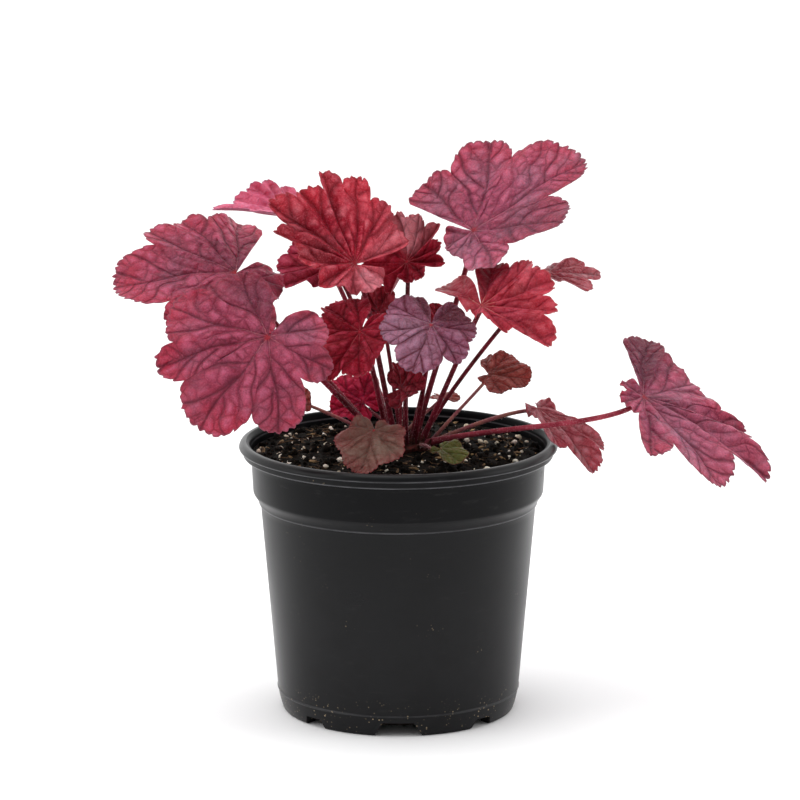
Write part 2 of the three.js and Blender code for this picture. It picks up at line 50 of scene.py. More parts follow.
# ------ driving values shared with the solids
GAP = 0.3
BLADE_THICKNESS = 0.8
CROWN = {"x": 3, "y": 8, "radius": 17, "top": 142.5, "dome": 3.5}
SOIL_LEVEL = 135.5
SOIL_MOUND = 1.2
SOIL_LUMP = 0.7
SOIL_EDGE = 75.3

# Edge of a blade, as pairs of an angle from the midrib in degrees and a reach in hundredths of it: one
# side of the cleft, then by turns each lobe's tip and the notch after it, up to the cleft's other side.
SEVEN_LOBES = ("-171 38,-132 58,-108 56,-84 76,-64 72,-42 90,-21 84,0 100,"
               "21 84,42 90,64 72,84 76,108 56,132 58,171 38")
FIVE_LOBES = "-171 40,-120 58,-90 62,-58 84,-29 78,0 100,29 78,58 84,90 62,120 58,171 40"
OVAL = "-150 12,-70 36,-35 74,0 96,30 92,66 68,150 15"

# How finely a blade is drawn: its usual edge, the width of a rounded tooth in millimetres and rings.
LARGE = {"edge": SEVEN_LOBES, "tooth": 5.6, "rings": 38}
MIDDLE = {"edge": SEVEN_LOBES, "tooth": 4.4, "rings": 28}
SMALL = {"edge": FIVE_LOBES, "tooth": 3.2, "rings": 22}
TINY = {"edge": FIVE_LOBES, "tooth": 2.6, "rings": 16}
TOOTH_COLUMNS = 6

# What a blade is when its row says nothing else. Roll, bend, arch and meet are degrees; width, tooth,
# pleat and ruffle are shares of the midrib, the ruffle with its number of waves and their phase; bow,
# pucker and spacing are millimetres. Each entry of the lobe shading is an angle, half its width and how
# much painted shade that part of the blade gets, or painted light if negative.
PLAIN_BLADE = {
    "roll": 0, "bend": 20, "arch": 0, "width": 1, "tooth": 0.035, "pleat": 0.05,
    "ruffle": (0.05, 5, 0), "meet": 35, "bow": (0, 0, 0), "pucker": 0.6, "spacing": 14, "lobes": (),
}


def pairs(text):
    """Pairs of numbers from a text with a comma after each pair."""
    return [tuple(map(float, pair.split())) for pair in text.split(",")]


def blade(name, look, size, at, tip, foot, stalk, **rest):
    """A leaf: where its midrib starts and ends, where its stalk stands on the crown, its radius."""
    edge = [(angle, reach / 100) for angle, reach in pairs(rest.pop("edge", size["edge"]))]
    return dict(PLAIN_BLADE, name=name, look=look, size=size, at=at, tip=tip, foot=foot, stalk=stalk,
                edge=edge, **rest)


LEAVES = [
    blade("far_left", "plum", LARGE, (-84.3, 22, 225.7), (-145, 2, 219), (-14, 0), 1.45, roll=-35, bend=22,
        arch=12, ruffle=(0.03, 7, 0),
        edge="-130 60,-112 72,-84 62,-72 74,-60 70,-44 82,-32 70,-4 100,22 70,36 84,56 64,84 72,116 40,"
        "160 40,208 26"),
    blade("front_left", "plum", LARGE, (-65, -62, 208.6), (-103.7, -78, 173.8), (-12, -7), 1.5, roll=-55,
        arch=15, ruffle=(0.03, 6, 0), lobes=((-118, 28, 0.45), (-150, 30, 0.3), (140, 26, -0.15)),
        edge="-142 40,-112 70,-84 74,-62 95,-40 88,-31 106,-16 88,10 106,34 76,52 90,82 50,108 66,126 50,"
        "152 56,186 26"),
    blade("back_left", "pink", LARGE, (-52.7, 34, 254.2), (-95.1, 27, 257.7), (-8, 10), 1.3, roll=-10,
        bend=10, arch=-115, ruffle=(0.03, 6, 0), bow=(8, 5, 0),
        edge="-150 20,-108 40,-92 38,-76 50,-66 48,-54 64,-48 62,-40 71,-30 69,-22 78,-12 78,0 102,8 80,"
        "24 66,36 46,56 40,84 28,112 30,150 20"),
    blade("upper_middle", "red", LARGE, (-22.1, -12, 236.6), (-64.3, -8, 270), (-5, 1), 1.5, roll=-60,
        bend=-10, arch=-20, pleat=0.09, ruffle=(0.08, 6, 210), tooth=0.045, pucker=1.6,
        lobes=((28, 14, 0.6), (2, 12, 0.3), (-110, 14, -0.3), (165, 30, -0.7)),
        edge="-128 28,-118 56,-94 54,-78 66,-66 64,-56 84,-44 81,-31 93,-28 78,-15 86,-9 86,1 99,8 76,"
        "16 81,20 62,36 56,50 36,68 38,88 32,120 29,138 27,156 33,206 28"),
    blade("hidden_left", "crimson", MIDDLE, (-34.3, 14, 230.3), (-62.6, 9, 230.7), (-9.5, 5.5), 1.2,
        roll=-52, bow=(6, 0, 0),
        edge="-171 30,-130 45,-104 45,-76 66,-60 64,-36 84,-20 84,-2 100,12 92,25 98,31 60,46 54,58 36,"
        "90 28,130 26,155 30,171 25"),
    blade("ruffled_middle", "ruby", MIDDLE, (4.5, 15, 232.8), (23.5, 2, 240.4), (0.5, 1.5), 1.3, roll=60,
        bend=-10, arch=-45, pleat=0.12, ruffle=(0.12, 7, 0), tooth=0.07, pucker=0.8,
        lobes=((84, 20, -0.9), (60, 14, -0.75), (40, 8, -0.3), (-60, 40, 0.3)),
        edge="-184 100,-154 105,-134 62,-114 80,-98 46,-80 60,-62 52,-42 90,-28 70,-12 96,-2 86,10 102,"
        "23 78,35 106,48 94,60 112,78 98,94 108,116 70,142 95,177.5 100"),
    blade("upper_right", "mauve", LARGE, (38.8, 24, 247.5), (98.4, 30, 280), (6.5, 2.5), 1.5, roll=28,
        bend=10, arch=-30, ruffle=(0.02, 6, 0), lobes=((-48, 20, 0.5), (-18, 14, 0.35), (-150, 45, -0.4)),
        edge="-232 21,-186 25,-124 27,-90 58,-66 44,-40 83,-11 62,4 100,40 72,54 83,82 62,102 70,118 66"),
    blade("bright_red", "scarlet", LARGE, (42.1, -23, 216.9), (74.8, -51, 201.3), (10, -4.5), 1.4, roll=28,
        arch=-20, pleat=0.08, ruffle=(0.05, 6, 0), tooth=0.045,
        lobes=((124, 22, 0.9), (-216, 14, 0.5), (-180, 24, 0.6), (8, 26, 0.25)),
        edge="-217 34,-190 82,-168 30,-100 14,-24 28,-13 51,-6 55,2 102,19 78,31 86,45 71,57 84,74 72,"
        "88 78,102 65,120 70,138 56"),
    blade("back_right", "dusty", MIDDLE, (76.9, 26, 225), (105.2, 30, 223.7), (10.5, 7.5), 1.2, roll=12,
        bend=10, ruffle=(0.1, 3, 0), spacing=10, bow=(-3, 0, 0),
        edge="-130 15,-72 56,-62 64,-48 98,-18 76,-4 100,10 74,26 76,40 58,56 52,80 36,110 30,150 15"),
    blade("purple_grey", "grey", LARGE, (16.5, -50, 212.4), (8.4, -69, 192.8), (5.5, -8.5), 1.3, roll=-18,
        arch=10, tooth=0.055, spacing=11, lobes=((140, 42, 1), (-152, 26, 0.85), (-40, 60, -0.35)),
        edge="-163 43,-148 78,-134 75,-108 87,-92 80,-60 90,-36 78,0 103,33 74,50 90,76 76,98 80,120 76,"
        "156 70,180 26"),
    blade("front_middle", "ruby", MIDDLE, (-19.4, -30, 204.8), (-24, -46, 184.8), (-8, -3.5), 1.4,
        pleat=0.08, ruffle=(0.05, 6, 0), tooth=0.07, pucker=0.8, spacing=11,
        edge="-188 54,-163 93,-148 90,-128 110,-114 88,-96 86,-66 72,-22 116,-13 94,8 100,36 78,70 62,"
        "104 44,150 62,164 40"),
    blade("dark_middle", "dark", SMALL, (-10.5, 15, 206.5), (-4.5, 12, 220), (-2, 6), 1.1, roll=90,
        spacing=9),
    blade("low_back", "magenta", SMALL, (-19, 40, 153), (-34, 50, 163), (-4, 13.5), 1, roll=-40, spacing=9,
        meet=50),
    blade("young_curled", "dark", MIDDLE, (1, -25, 174.7), (13.5, -33, 180.7), (1.5, -11), 1, roll=60,
        arch=-50, width=1.15, ruffle=(0.12, 6, 0), tooth=0.08, spacing=7),
    blade("small_right", "brown", SMALL, (47, 10, 174.6), (68.1, 2, 172.6), (15.5, 2), 0.9, roll=28,
        bend=15, spacing=8,
        edge="-150 22,-112 30,-78 44,-50 84,-27 80,0 100,40 76,76 80,100 62,118 72,136 40"),
    blade("low_front", "fawn", SMALL, (-12.3, -48, 157.8), (-16.2, -66, 140.3), (-6, -13), 1.1, bend=10,
        tooth=0.05, spacing=11,
        edge="-158 20,-108 52,-86 58,-60 82,-38 86,-4 104,16 94,42 88,60 80,82 66,106 46,132 32,166 14"),
    blade("olive", "olive", TINY, (21.5, -42, 147), (32, -54, 142), (8, -14), 0.8, roll=10, tooth=0.01,
        spacing=8, meet=60, edge=OVAL),
    blade("drooping_right", "mauve", LARGE, (126.6, 0, 164.6), (189.5, -20, 125.4), (13, -8.5), 1.45,
        roll=20, bend=25, arch=-5, pleat=0.08, ruffle=(0, 1, 0), meet=32, bow=(0, -20, -0.5),
        lobes=((115, 30, 0.8), (60, 18, -0.3), (-15, 30, -0.2)),
        edge="-232 14,-202 20,-174 12,-120 17,-74 24,-58 62,-43 52,-27 88,-9 70,0 100,10 76,18 74,26 54,"
        "60 43,98 50,113 66,128 60"),
    blade("drooping_small", "dusty", SMALL, (72.7, 12, 156.1), (103.4, -5, 128.1), (16, -3.5), 1.1, roll=8,
        bend=30, spacing=10, meet=70,
        edge="-160 12,-100 18,-60 32,-32 64,-18 64,-4 102,8 84,15 88,30 44,90 24,140 12"),
    blade("small_left", "brown", TINY, (-51, 10, 159), (-55, 13, 170), (-15, 4.5), 0.9, roll=-90,
        spacing=7),
    blade("small_back", "brown", TINY, (22, 31, 158.5), (31, 23, 157.5), (1, 13), 0.8, spacing=6),
    blade("young_behind", "dark", TINY, (20, 10, 200.5), (19.5, 16, 211), (4, -2.5), 0.9, spacing=6),
    blade("young_upright", "dark", TINY, (1.5, 4, 172.5), (1.5, 7, 181.5), (-2, -6), 0.9, spacing=6),
]


def tinted(slot, bands, silver, gloss, colours):
    """A blade's slot name, the strength of its bands, bloom and gloss, and its colours."""
    return dict(zip(TINTS, colours.split()), heart="940e20", slot="blade_" + slot, bands=bands,
                silver=silver, gloss=gloss)


# Colours of a blade: the flesh, its second tone and the outer ends of each lobe, the raised flesh between
# the veins with its painted highlight, the painted light on some parts of the blade, the dark bands along
# the veins that also give the painted shade, the raised vein lines, the margin, the silvery bloom and the
# underside.
TINTS = ("flesh", "tone", "end", "light", "pale", "dark_band_and_shade", "line", "margin", "bloom", "under")
LOOKS = {
    "plum": tinted("plum", 0.8, 0.45, 0.2,
        "963a52 862c44 a82c42 be5e7c a8748a 480c20 d8808c 7c4050 76485a 9a4c64"),
    "mauve": tinted("plum", 0.78, 0.45, 0.22,
        "9a4059 8a3450 a6344a c66884 ac7c94 4a0e24 d88898 74404e 866274 9a526e"),
    "pink": tinted("plum", 0.5, 0.3, 0.25,
        "cc6888 c25474 c8607c dc84a0 d89cae 983048 e09ca8 94607c c08898 b45e78"),
    "crimson": tinted("plum", 0.7, 0.2, 0.12,
        "942438 841830 942440 c2566e c07080 540410 c86878 8c4458 8c5060 a14f64"),
    "dusty": tinted("plum", 0.6, 0.75, 0.25,
        "a04c54 983240 a83c4a c4828e c89c9a 68242e d8a0a0 8c5058 a48084 9e5b6b"),
    "red": tinted("red", 0.6, 0.5, 0.12,
        "c04252 a01a30 c43848 e4808c d48c98 54060f dc7878 903c44 984c58 a13c50"),
    "ruby": tinted("red", 0.7, 0.15, 0.06,
        "8a1024 700616 8c1a2c b23a50 c8848e 400006 cc6068 8c3c44 984854 933343"),
    "scarlet": tinted("red", 0.6, 0.3, 0.15,
        "a83044 8c0e20 b03040 ca5a68 e2989a 6a0c1c e8a090 a04c50 a85c64 a93f54"),
    "dark": tinted("dark", 0.75, 0.1, 0.08,
        "801424 640814 7c1826 a43c4c a86070 2c0208 a84858 6c2430 643038 721e35"),
    "magenta": tinted("plum", 0.7, 0.1, 0.08,
        "ac163c 880a2a a8163a c03c5c b86080 480414 d06080 903450 984058 9a2443"),
    "grey": tinted("grey", 0.9, 0.45, 0.12,
        "7c465c 743c50 7c3c54 a06c84 ac869c 420818 cc98a4 644858 886c7a 804c64"),
    "brown": tinted("brown", 0.45, 0.3, 0.15,
        "943e38 783028 943c38 a8645c a07870 3c1c1a a86c58 502828 745048 723f3c"),
    "fawn": tinted("brown", 0.3, 0.5, 0.2,
        "6c4a40 683c34 7c3c3c 80645a 947464 442820 94685c 7c3438 786458 79484d"),
    "olive": tinted("olive", 0.4, 0.3, 0.12,
        "50501c 444018 504c20 68683a 787444 303018 848c50 643c30 6c6840 635535"),
}
PALE_STALKS = ("small_right", "low_front", "small_left", "drooping_small", "olive", "small_back")
STALK_KINDS = {"drooping_right": "petiole_red", **dict.fromkeys(PALE_STALKS, "petiole_pale")}


# ------ small helpers
def linear(colour):
    """An 'rrggbb' colour as the linear RGBA that shaders take."""
    parts = [int(colour[i:i + 2], 16) / 255 for i in (0, 2, 4)]
    return (*[c / 12.92 if c <= 0.04045 else ((c + 0.055) / 1.055) ** 2.4 for c in parts], 1.0)


def unit(vector):
    return np.asarray(vector, float) / np.linalg.norm(vector)


def rotated(vector, axis, angle):
    """The vector turned about a unit axis, angle in radians."""
    vector = np.asarray(vector, float)
    turned = vector * cos(angle) + np.cross(axis, vector) * sin(angle)
    return turned + axis * np.dot(axis, vector) * (1 - cos(angle))


def smooth(low, high, value):
    """0 below low, 1 above high, and an S curve between."""
    t = np.clip((value - low) / (high - low), 0, 1)
    return t * t * (3 - 2 * t)


def full_turn(count):
    """Angles of so many points round a circle."""
    return np.linspace(0, 2 * pi, count, endpoint=False)


def circles(rows, count):
    """Points on level circles, each row a radius and a height."""
    ring = np.stack([np.cos(full_turn(count)), np.sin(full_turn(count))], 1)
    return np.concatenate([np.column_stack([r * ring, np.full(count, z)]) for r, z in rows])


def turned_over(faces):
    return [face[:1] + face[:0:-1] for face in faces]


def quad(low, j, count):
    """A face between point j of a row that starts at low and the next row."""
    k = (j + 1) % count
    return low + j, low + k, low + count + k, low + count + j


def tube_faces(rows, count):
    return [quad(low, j, count) for low in range(0, (rows - 1) * count, count) for j in range(count)]


def lathe_faces(rows, count):
    """Faces of a closed skin over rows of count points and then the middles of its two ends."""
    faces, middle = [], rows * count
    top = middle - count
    for j in range(count):
        faces.append((middle, (j + 1) % count, j))
        faces += [quad(low, j, count) for low in range(0, top, count)]
        faces.append((top + j, top + (j + 1) % count, middle + 1))
    return faces


def place_object(name, data):
    placed = bpy.data.objects.new(name, data)
    bpy.context.scene.collection.objects.link(placed)
    return placed


def new_object(name, points, faces, materials, angle=50):
    """A mesh object from points in millimetres, shaded smooth but for edges sharper than angle."""
    mesh = bpy.data.meshes.new(name)
    mesh.from_pydata((np.asarray(points) * MM).tolist(), [], faces)
    for made in materials:
        mesh.materials.append(MATERIALS[made])
    mesh.polygons.foreach_set("use_smooth", [True] * len(mesh.polygons))
    mesh.set_sharp_from_angle(angle=radians(angle))
    return place_object(name, mesh)


def join_parts(parts):
    """Several (points, faces) as one."""
    faces, start = [], 0
    for points, part_faces in parts:
        faces += [tuple(start + i for i in face) for face in part_faces]
        start += len(points)
    return np.concatenate([points for points, _ in parts]), faces


def settle(piece, slot, *nodes):
    """Ties a piece to the plant's body and hides the solids that it stands for; the slot is not used."""
    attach(piece, "root")
    if nodes:
        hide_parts(*nodes)


# ------ shader helpers
def put(socket, value):
    """Joins a node's output to a socket, or sets a number, a vector or an 'rrggbb' colour on it."""
    if isinstance(value, bpy.types.NodeSocket):
        socket.id_data.links.new(value, socket)
    else:
        socket.default_value = linear(value) if isinstance(value, str) else value


def add_node(tree, kind, inputs, out=0, **settings):
    """A new node's output, with its inputs joined or set."""
    node = tree.nodes.new(kind)
    for key, value in settings.items():
        setattr(node, key, value)
    for key, value in inputs.items():
        put(node.inputs[key], value)
    return node.outputs[out]


def after(kind, inputs, out=0, **settings):
    """The same in the tree of the outputs that it takes in."""
    tree = next(value.id_data for value in inputs.values() if isinstance(value, bpy.types.NodeSocket))
    return add_node(tree, kind, inputs, out, **settings)


def calc(operation, a, b=0.0, clamp=False):
    return after("ShaderNodeMath", {0: a, 1: b}, operation=operation, use_clamp=clamp)


def times(a, b):
    return calc("MULTIPLY", a, b)


def plus(a, b):
    return calc("ADD", a, b)


def most(a, b):
    return calc("MAXIMUM", a, b)


def apart(a, b):
    """How far apart two numbers are."""
    return calc("ABSOLUTE", calc("SUBTRACT", a, b))


def mix(share, a, b):
    """Colour a where share is 0 and b where it is 1."""
    return after("ShaderNodeMix", {0: share, 6: a, 7: b}, out=2, data_type="RGBA", clamp_factor=True)


def paint(colour, *layers):
    """The colour under layers of a share and a colour each, the last on top."""
    for share, layer in layers:
        colour = mix(share, colour, layer)
    return colour


def step(value, low, high, to_low=0.0, to_high=1.0):
    """to_low below low, to_high above high, and an S curve between."""
    inputs = {"Value": value, "From Min": low, "From Max": high, "To Min": to_low, "To Max": to_high}
    return after("ShaderNodeMapRange", inputs, interpolation_type="SMOOTHSTEP")


def noise(place, scale, detail=2.0, rough=0.5, out=0):
    inputs = {"Vector": place, "Scale": scale, "Detail": detail, "Roughness": rough}
    return after("ShaderNodeTexNoise", inputs, out)


def cracks(place, scale, randomness=1.0):
    """Distance from the nearest edge of a net of cells."""
    inputs = {"Vector": place, "Scale": scale, "Randomness": randomness}
    return after("ShaderNodeTexVoronoi", inputs, feature="DISTANCE_TO_EDGE")


def cells(place, scale, out=0):
    """Distance from the middle of the nearest cell, or with out=1 its own colour."""
    return after("ShaderNodeTexVoronoi", {"Vector": place, "Scale": scale}, out)


def bump(height, distance, strength=1.0, under=None):
    inputs = {"Height": height, "Distance": distance, "Strength": strength}
    if under is not None:
        inputs["Normal"] = under
    return after("ShaderNodeBump", inputs)


def split(vector):
    """A vector and its three parts."""
    return (vector, *after("ShaderNodeSeparateXYZ", {0: vector}).node.outputs)


MATERIALS = {}


class Shader:
    """A material with one Principled surface, kept in MATERIALS."""

    def __init__(self, name, **constants):
        MATERIALS[name] = made = bpy.data.materials.new(name)
        made.use_nodes = True
        self.tree = made.node_tree
        self.tree.nodes.clear()
        output = self.tree.nodes.new("ShaderNodeOutputMaterial")
        self.surface = self.tree.nodes.new("ShaderNodeBsdfPrincipled")
        put(output.inputs[0], self.surface.outputs[0])
        for socket, value in constants.items():
            put(self.surface.inputs[socket.replace("_", " ")], value)

    def attribute(self, name):
        """A mesh attribute as its vector and its three parts."""
        return split(add_node(self.tree, "ShaderNodeAttribute", {}, 1, attribute_name=name))

    def place(self):
        """The point on the object, in metres, and its three parts."""
        return split(add_node(self.tree, "ShaderNodeTexCoord", {}, 3))

    def finish(self, colour, roughness=None, normal=None):
        for socket, value in (("Base Color", colour), ("Roughness", roughness), ("Normal", normal)):
            if value is not None:
                put(self.surface.inputs[socket], value)


# ------ blade materials
class Veins:
    """Where a blade's veins run, in millimetres of the pattern, for its two materials."""

    def __init__(self, shader, flat):
        _, across, phase, lobe = shader.attribute("veins")
        nearest = calc("ROUND", phase)
        waver = times(calc("SUBTRACT", noise(flat, 0.45), 0.5), 1.4)
        self.main = calc("ABSOLUTE", plus(across, waver))
        self.side = times(apart(phase, nearest), PATTERN / hypot(1, VEIN_LEAN))
        own = after("ShaderNodeCombineXYZ", {0: nearest, 1: lobe})
        self.chance = after("ShaderNodeTexWhiteNoise", {"Vector": own}, noise_dimensions="2D")
        bent = mix(0.2, flat, noise(flat, 0.22, 3, out=1))
        self.net = cracks(bent, 0.17, 0.9)
        self.fine_net = cracks(bent, 0.55)


def vein_bands(flat, share, veins):
    """How dark the flesh is for the veins near it, from 0 to 1: blurred bands of uneven width, the veins'
    own dark colour together with painted shade where the flesh sinks to them.
    """
    grow = step(share, 0.02, 0.45, 0.35, 1.0)

    def dark_band_and_shade(distance, width):
        return calc("SUBTRACT", 1.0, calc("DIVIDE", distance, times(width, grow), clamp=True))

    main = dark_band_and_shade(veins.main, step(noise(flat, 0.11), 0.3, 0.7, 0.8, 2.3))
    side = dark_band_and_shade(veins.side, step(veins.chance, 0.1, 0.9, 0.5, 1.7))
    side = times(side, step(veins.chance, 0.05, 0.5, 0.45, 1.0))
    patchy = step(noise(flat, 0.14), 0.35, 0.62, 0.15, 0.65)
    net = times(step(veins.net, 0.0, 0.08, 1.0, 0.0), patchy)
    return most(most(most(main, side), net), step(veins.fine_net, 0.0, 0.1, 0.22, 0.0))


def blade_material(name, look):
    """The upper face: mottled flesh, dark blurred bands along the veins, fine raised lines, a painted
    highlight on the raised flesh between the veins, and painted shade and painted light on some parts of
    the blade.
    """
    shader = Shader(name, IOR=1.45, Specular_IOR_Level=look["gloss"], Sheen_Weight=0.2 * look["gloss"],
                    Sheen_Roughness=0.4, Sheen_Tint="f0c8d8", Subsurface_Weight=0.35,
                    Subsurface_Scale=0.0012, Subsurface_Radius=(1.0, 0.15, 0.15))
    flat, _, _, share = shader.attribute("flat")
    _, painted_shade, pale, _ = shader.attribute("lobes")
    veins = Veins(shader, flat)

    mottle = noise(flat, 0.25, 4, 0.65)
    grain = noise(flat, 1.3, 3, 0.7)
    patches = noise(flat, 0.05, 3, 0.55)
    hollow = calc("MINIMUM", times(veins.main, 0.7), veins.side)
    # painted highlight: the raised flesh away from the veins and the net is lighter
    puffed_highlight = times(step(hollow, 0.5, 3.0), step(veins.net, 0.02, 0.3))
    near = step(share, 0.05, 0.42, 0.6, 0.0)
    layers = [
        (step(plus(share, times(patches, 0.5)), 0.85, 1.3, 0.0, 0.8), "end"),
        (times(puffed_highlight, 0.55), "light"),
        (step(noise(flat, 0.045, 4, 0.65), 0.46, 0.66, 0.0, look["silver"]), "bloom"),
        # painted light on some parts of the blade, then painted shade on others
        (pale, "pale"),
        (painted_shade, "dark_band_and_shade"),
        (step(mottle, 0.4, 0.8, 0.0, 0.3), "dark_band_and_shade"),
        (step(grain, 0.5, 0.72, 0.0, 0.35), "light"),
        (step(grain, 0.3, 0.48, 0.35, 0.0), "dark_band_and_shade"),
        (times(vein_bands(flat, share, veins), look["bands"]), "dark_band_and_shade"),
        (times(step(veins.main, 0.08, 0.3, 1.0, 0.0), near), "line"),
        # darker round the heart: the leaf's own dark colour together with painted shade in the cleft
        (step(share, 0.03, 0.16, 0.45, 0.0), "dark_band_and_shade"),
        (step(share, 0.01, 0.065, 0.85, 0.0), "heart"),
        (step(share, 0.975, 0.995, 0.0, 0.8), "margin"),
    ]
    colour = mix(step(patches, 0.4, 0.62), look["flesh"], look["tone"])
    colour = paint(colour, *((amount, look[tint]) for amount, tint in layers))

    relief = plus(step(veins.net, 0.0, 0.3, 0.0, 1.3), step(veins.side, 0.0, 1.2))
    relief = plus(relief, step(veins.fine_net, 0.0, 0.3, 0.0, 0.35))
    relief = plus(relief, times(mottle, 0.4))
    relief = plus(relief, times(grain, 0.5))
    normal = bump(noise(flat, 2.2, 3, 0.6), 0.00008, 0.7, under=bump(relief, 0.0005, 0.9))
    shader.finish(colour, step(mottle, 0.3, 0.7, 0.38, 0.55), normal)


def underside_material(name, look):
    """The lower face: paler, with its veins standing out."""
    shader = Shader(name, IOR=1.45, Specular_IOR_Level=0.25, Sheen_Weight=0.2, Sheen_Roughness=0.6,
                    Sheen_Tint="f4d0dc")
    flat = shader.attribute("flat")[0]
    veins = Veins(shader, flat)
    mottle = noise(flat, 0.2, 4, 0.6)
    raised = most(step(veins.main, 0.3, 1.1, 1.0, 0.0), step(veins.side, 0.15, 0.7, 0.7, 0.0))
    colour = mix(step(mottle, 0.3, 0.7, 0.0, 0.55), look["under"], look["tone"])
    colour = mix(times(raised, 0.6), colour, look["line"])
    relief = plus(raised, step(veins.net, 0.0, 0.2, 0.45, 0.0))
    shader.finish(colour, step(mottle, 0.3, 0.7, 0.5, 0.65), bump(relief, 0.0006, 0.9))


# ------ blade shape
def blade_axes(leaf):
    """Where a blade starts, its own axes and the length of its midrib, as in the solids."""
    start = np.array(leaf["at"], float)
    chord = np.array(leaf["tip"], float) - start
    x = unit(chord)
    y = rotated(unit(np.cross((0, 0, 1), x)), x, radians(leaf["roll"]))
    half = radians(leaf["bend"]) / 2
    x = rotated(x, y, -half)
    length = np.linalg.norm(chord) * (half / sin(half) if half else 1)
    return start, x, y, np.cross(x, y), length


def tooth_steps(leaf, arc, number):
    """Steps from a lobe's tip (0) to its notch (1) and the height of the rounded teeth at each."""
    teeth = max(1, round(arc / leaf["size"]["tooth"])) + 0.5
    away = np.linspace(0, 1, round(teeth * TOOTH_COLUMNS) + 1)
    shift = 0.22 * np.sin(pi * away) * np.sin(5 * teeth * away + leaf["seed"] + number)
    phase = teeth * (1 - away) + shift
    scallop = np.abs(np.sin(pi * phase)) ** 0.7
    height = leaf["tooth"] * (1 + 0.35 * np.sin(3.7 * phase + 5 * leaf["seed"] + number))
    return away, height * (scallop - 0.6)


def blade_columns(leaf):
    """The columns of a blade's net from one side of the cleft to the other: angle, reach without
    teeth, height of the teeth and place in the lobe; and each strip's lobe and side."""
    edge, length = leaf["edge"], blade_axes(leaf)[4]
    rows, strips = [], []
    for tip in range(1, len(edge), 2):
        tip_angle, tip_reach = edge[tip]
        for way in (-1, 1):
            angle, reach = edge[tip + way]
            arc = length * hypot(radians(angle - tip_angle) * tip_reach, tip_reach - reach)
            away, tooth = tooth_steps(leaf, arc, tip + way)
            away, tooth = away[::way][:-1], tooth[::way][:-1]
            theta = tip_angle + (angle - tip_angle) * away
            here = reach + (tip_reach - reach) * (1 - away ** 2.5)
            rows.extend(zip(theta, here, tooth, away))
            strips.extend([(tip_angle, way)] * len(away))
    rows.append((*edge[-1], -0.6 * leaf["tooth"], 1.0))
    theta, reach, tooth, away = np.array(rows).T
    return np.radians(theta), reach, tooth, away, np.array(strips, float)


def curled(run, up, angle):
    """Bends a flat strip downwards into an arc of a given angle for each unit of its length."""
    if angle == 0:
        return run, up
    turn = angle * run
    return np.sin(turn) / angle + up * np.sin(turn), up * np.cos(turn) - (1 - np.cos(turn)) / angle


def vein_fields(leaf, distance, turn, away, strip):
    """Millimetres across from the lobe's vein, and a phase that is whole on each side vein."""
    lobe_turn, side = np.radians(strip[..., 0]), strip[..., 1]
    along = distance * np.cos(turn - lobe_turn)
    across = distance * np.sin(turn - lobe_turn)
    free = smooth(6, 30, distance)
    own = leaf["seed"] + 3 * lobe_turn
    bent = across + 1.5 * free * np.sin(along / 9 + 2 * own)
    x, y = distance * np.cos(turn), distance * np.sin(turn)
    wander = 0.34 * np.sin(x / 8.3 + own) * np.cos(y / 9.7 + 2 * own) + 0.16 * np.sin((x + y) / 4.1 + own)
    lean = VEIN_LEAN * np.abs(across) * (1 - 0.006 * np.abs(across))
    phase = (along - lean) / leaf["spacing"] + wander * free + 0.25 * side * (1 - away ** 2)
    return bent, phase


def vein_relief(leaf, distance, turn, away, strip, share):
    """Height of the flesh between its veins, in millimetres."""
    across, phase = vein_fields(leaf, distance, turn, away, strip)
    across = np.abs(across)
    fold = np.abs(phase - np.round(phase))
    puffs = smooth(0, 0.45, fold) * smooth(0, 3.5, across)
    x, y = distance * np.cos(turn), distance * np.sin(turn)
    blisters = np.sin(x / 1.3 + 2 * np.sin(y / 2.7) + leaf["seed"]) * np.sin(y / 1.5 + 2 * np.sin(x / 3.1))
    groove = 0.6 * np.exp(-across ** 2)
    relief = leaf["pucker"] * (puffs + 0.45 * blisters * smooth(1, 4, across)) - groove
    return relief * smooth(0, 0.25, share) * (1 - 0.6 * smooth(0.85, 1, share))


def blade_points(leaf, columns, share):
    """The blade's middle surface, rings by columns, and each point's distance from the stalk."""
    turn, reach, tooth, away, strips = columns
    start, ax, ay, az, length = blade_axes(leaf)
    s = share[:, None]
    edge = reach * (1 + tooth * s ** 7) * s
    distance = edge * length
    strip = np.concatenate([strips, strips[-1:]])
    relief = vein_relief(leaf, distance, turn, away, strip, s)
    height, waves, phase = leaf["ruffle"]
    along = edge * np.cos(turn)
    across = edge * np.sin(turn) * leaf["width"]
    up = leaf["pleat"] * edge * (0.5 - 0.5 * np.cos(pi * away))
    up = up + height * s ** 3 * np.sin(waves * turn + radians(phase))
    up = up + 0.012 * s ** 4 * np.sin(17 * turn + leaf["seed"]) + relief / length
    across, up = curled(across, up, radians(leaf["arch"]))
    along, up = curled(along, up, radians(leaf["bend"]))
    middle = along[..., None] * ax + across[..., None] * ay + up[..., None] * az
    return start + length * middle, distance


def grid_normals(points):
    """Unit normals of a grid of points, rings by columns."""
    normals = np.cross(np.gradient(points, axis=0), np.gradient(points, axis=1))
    return normals / np.maximum(np.linalg.norm(normals, axis=-1, keepdims=True), 1e-12)


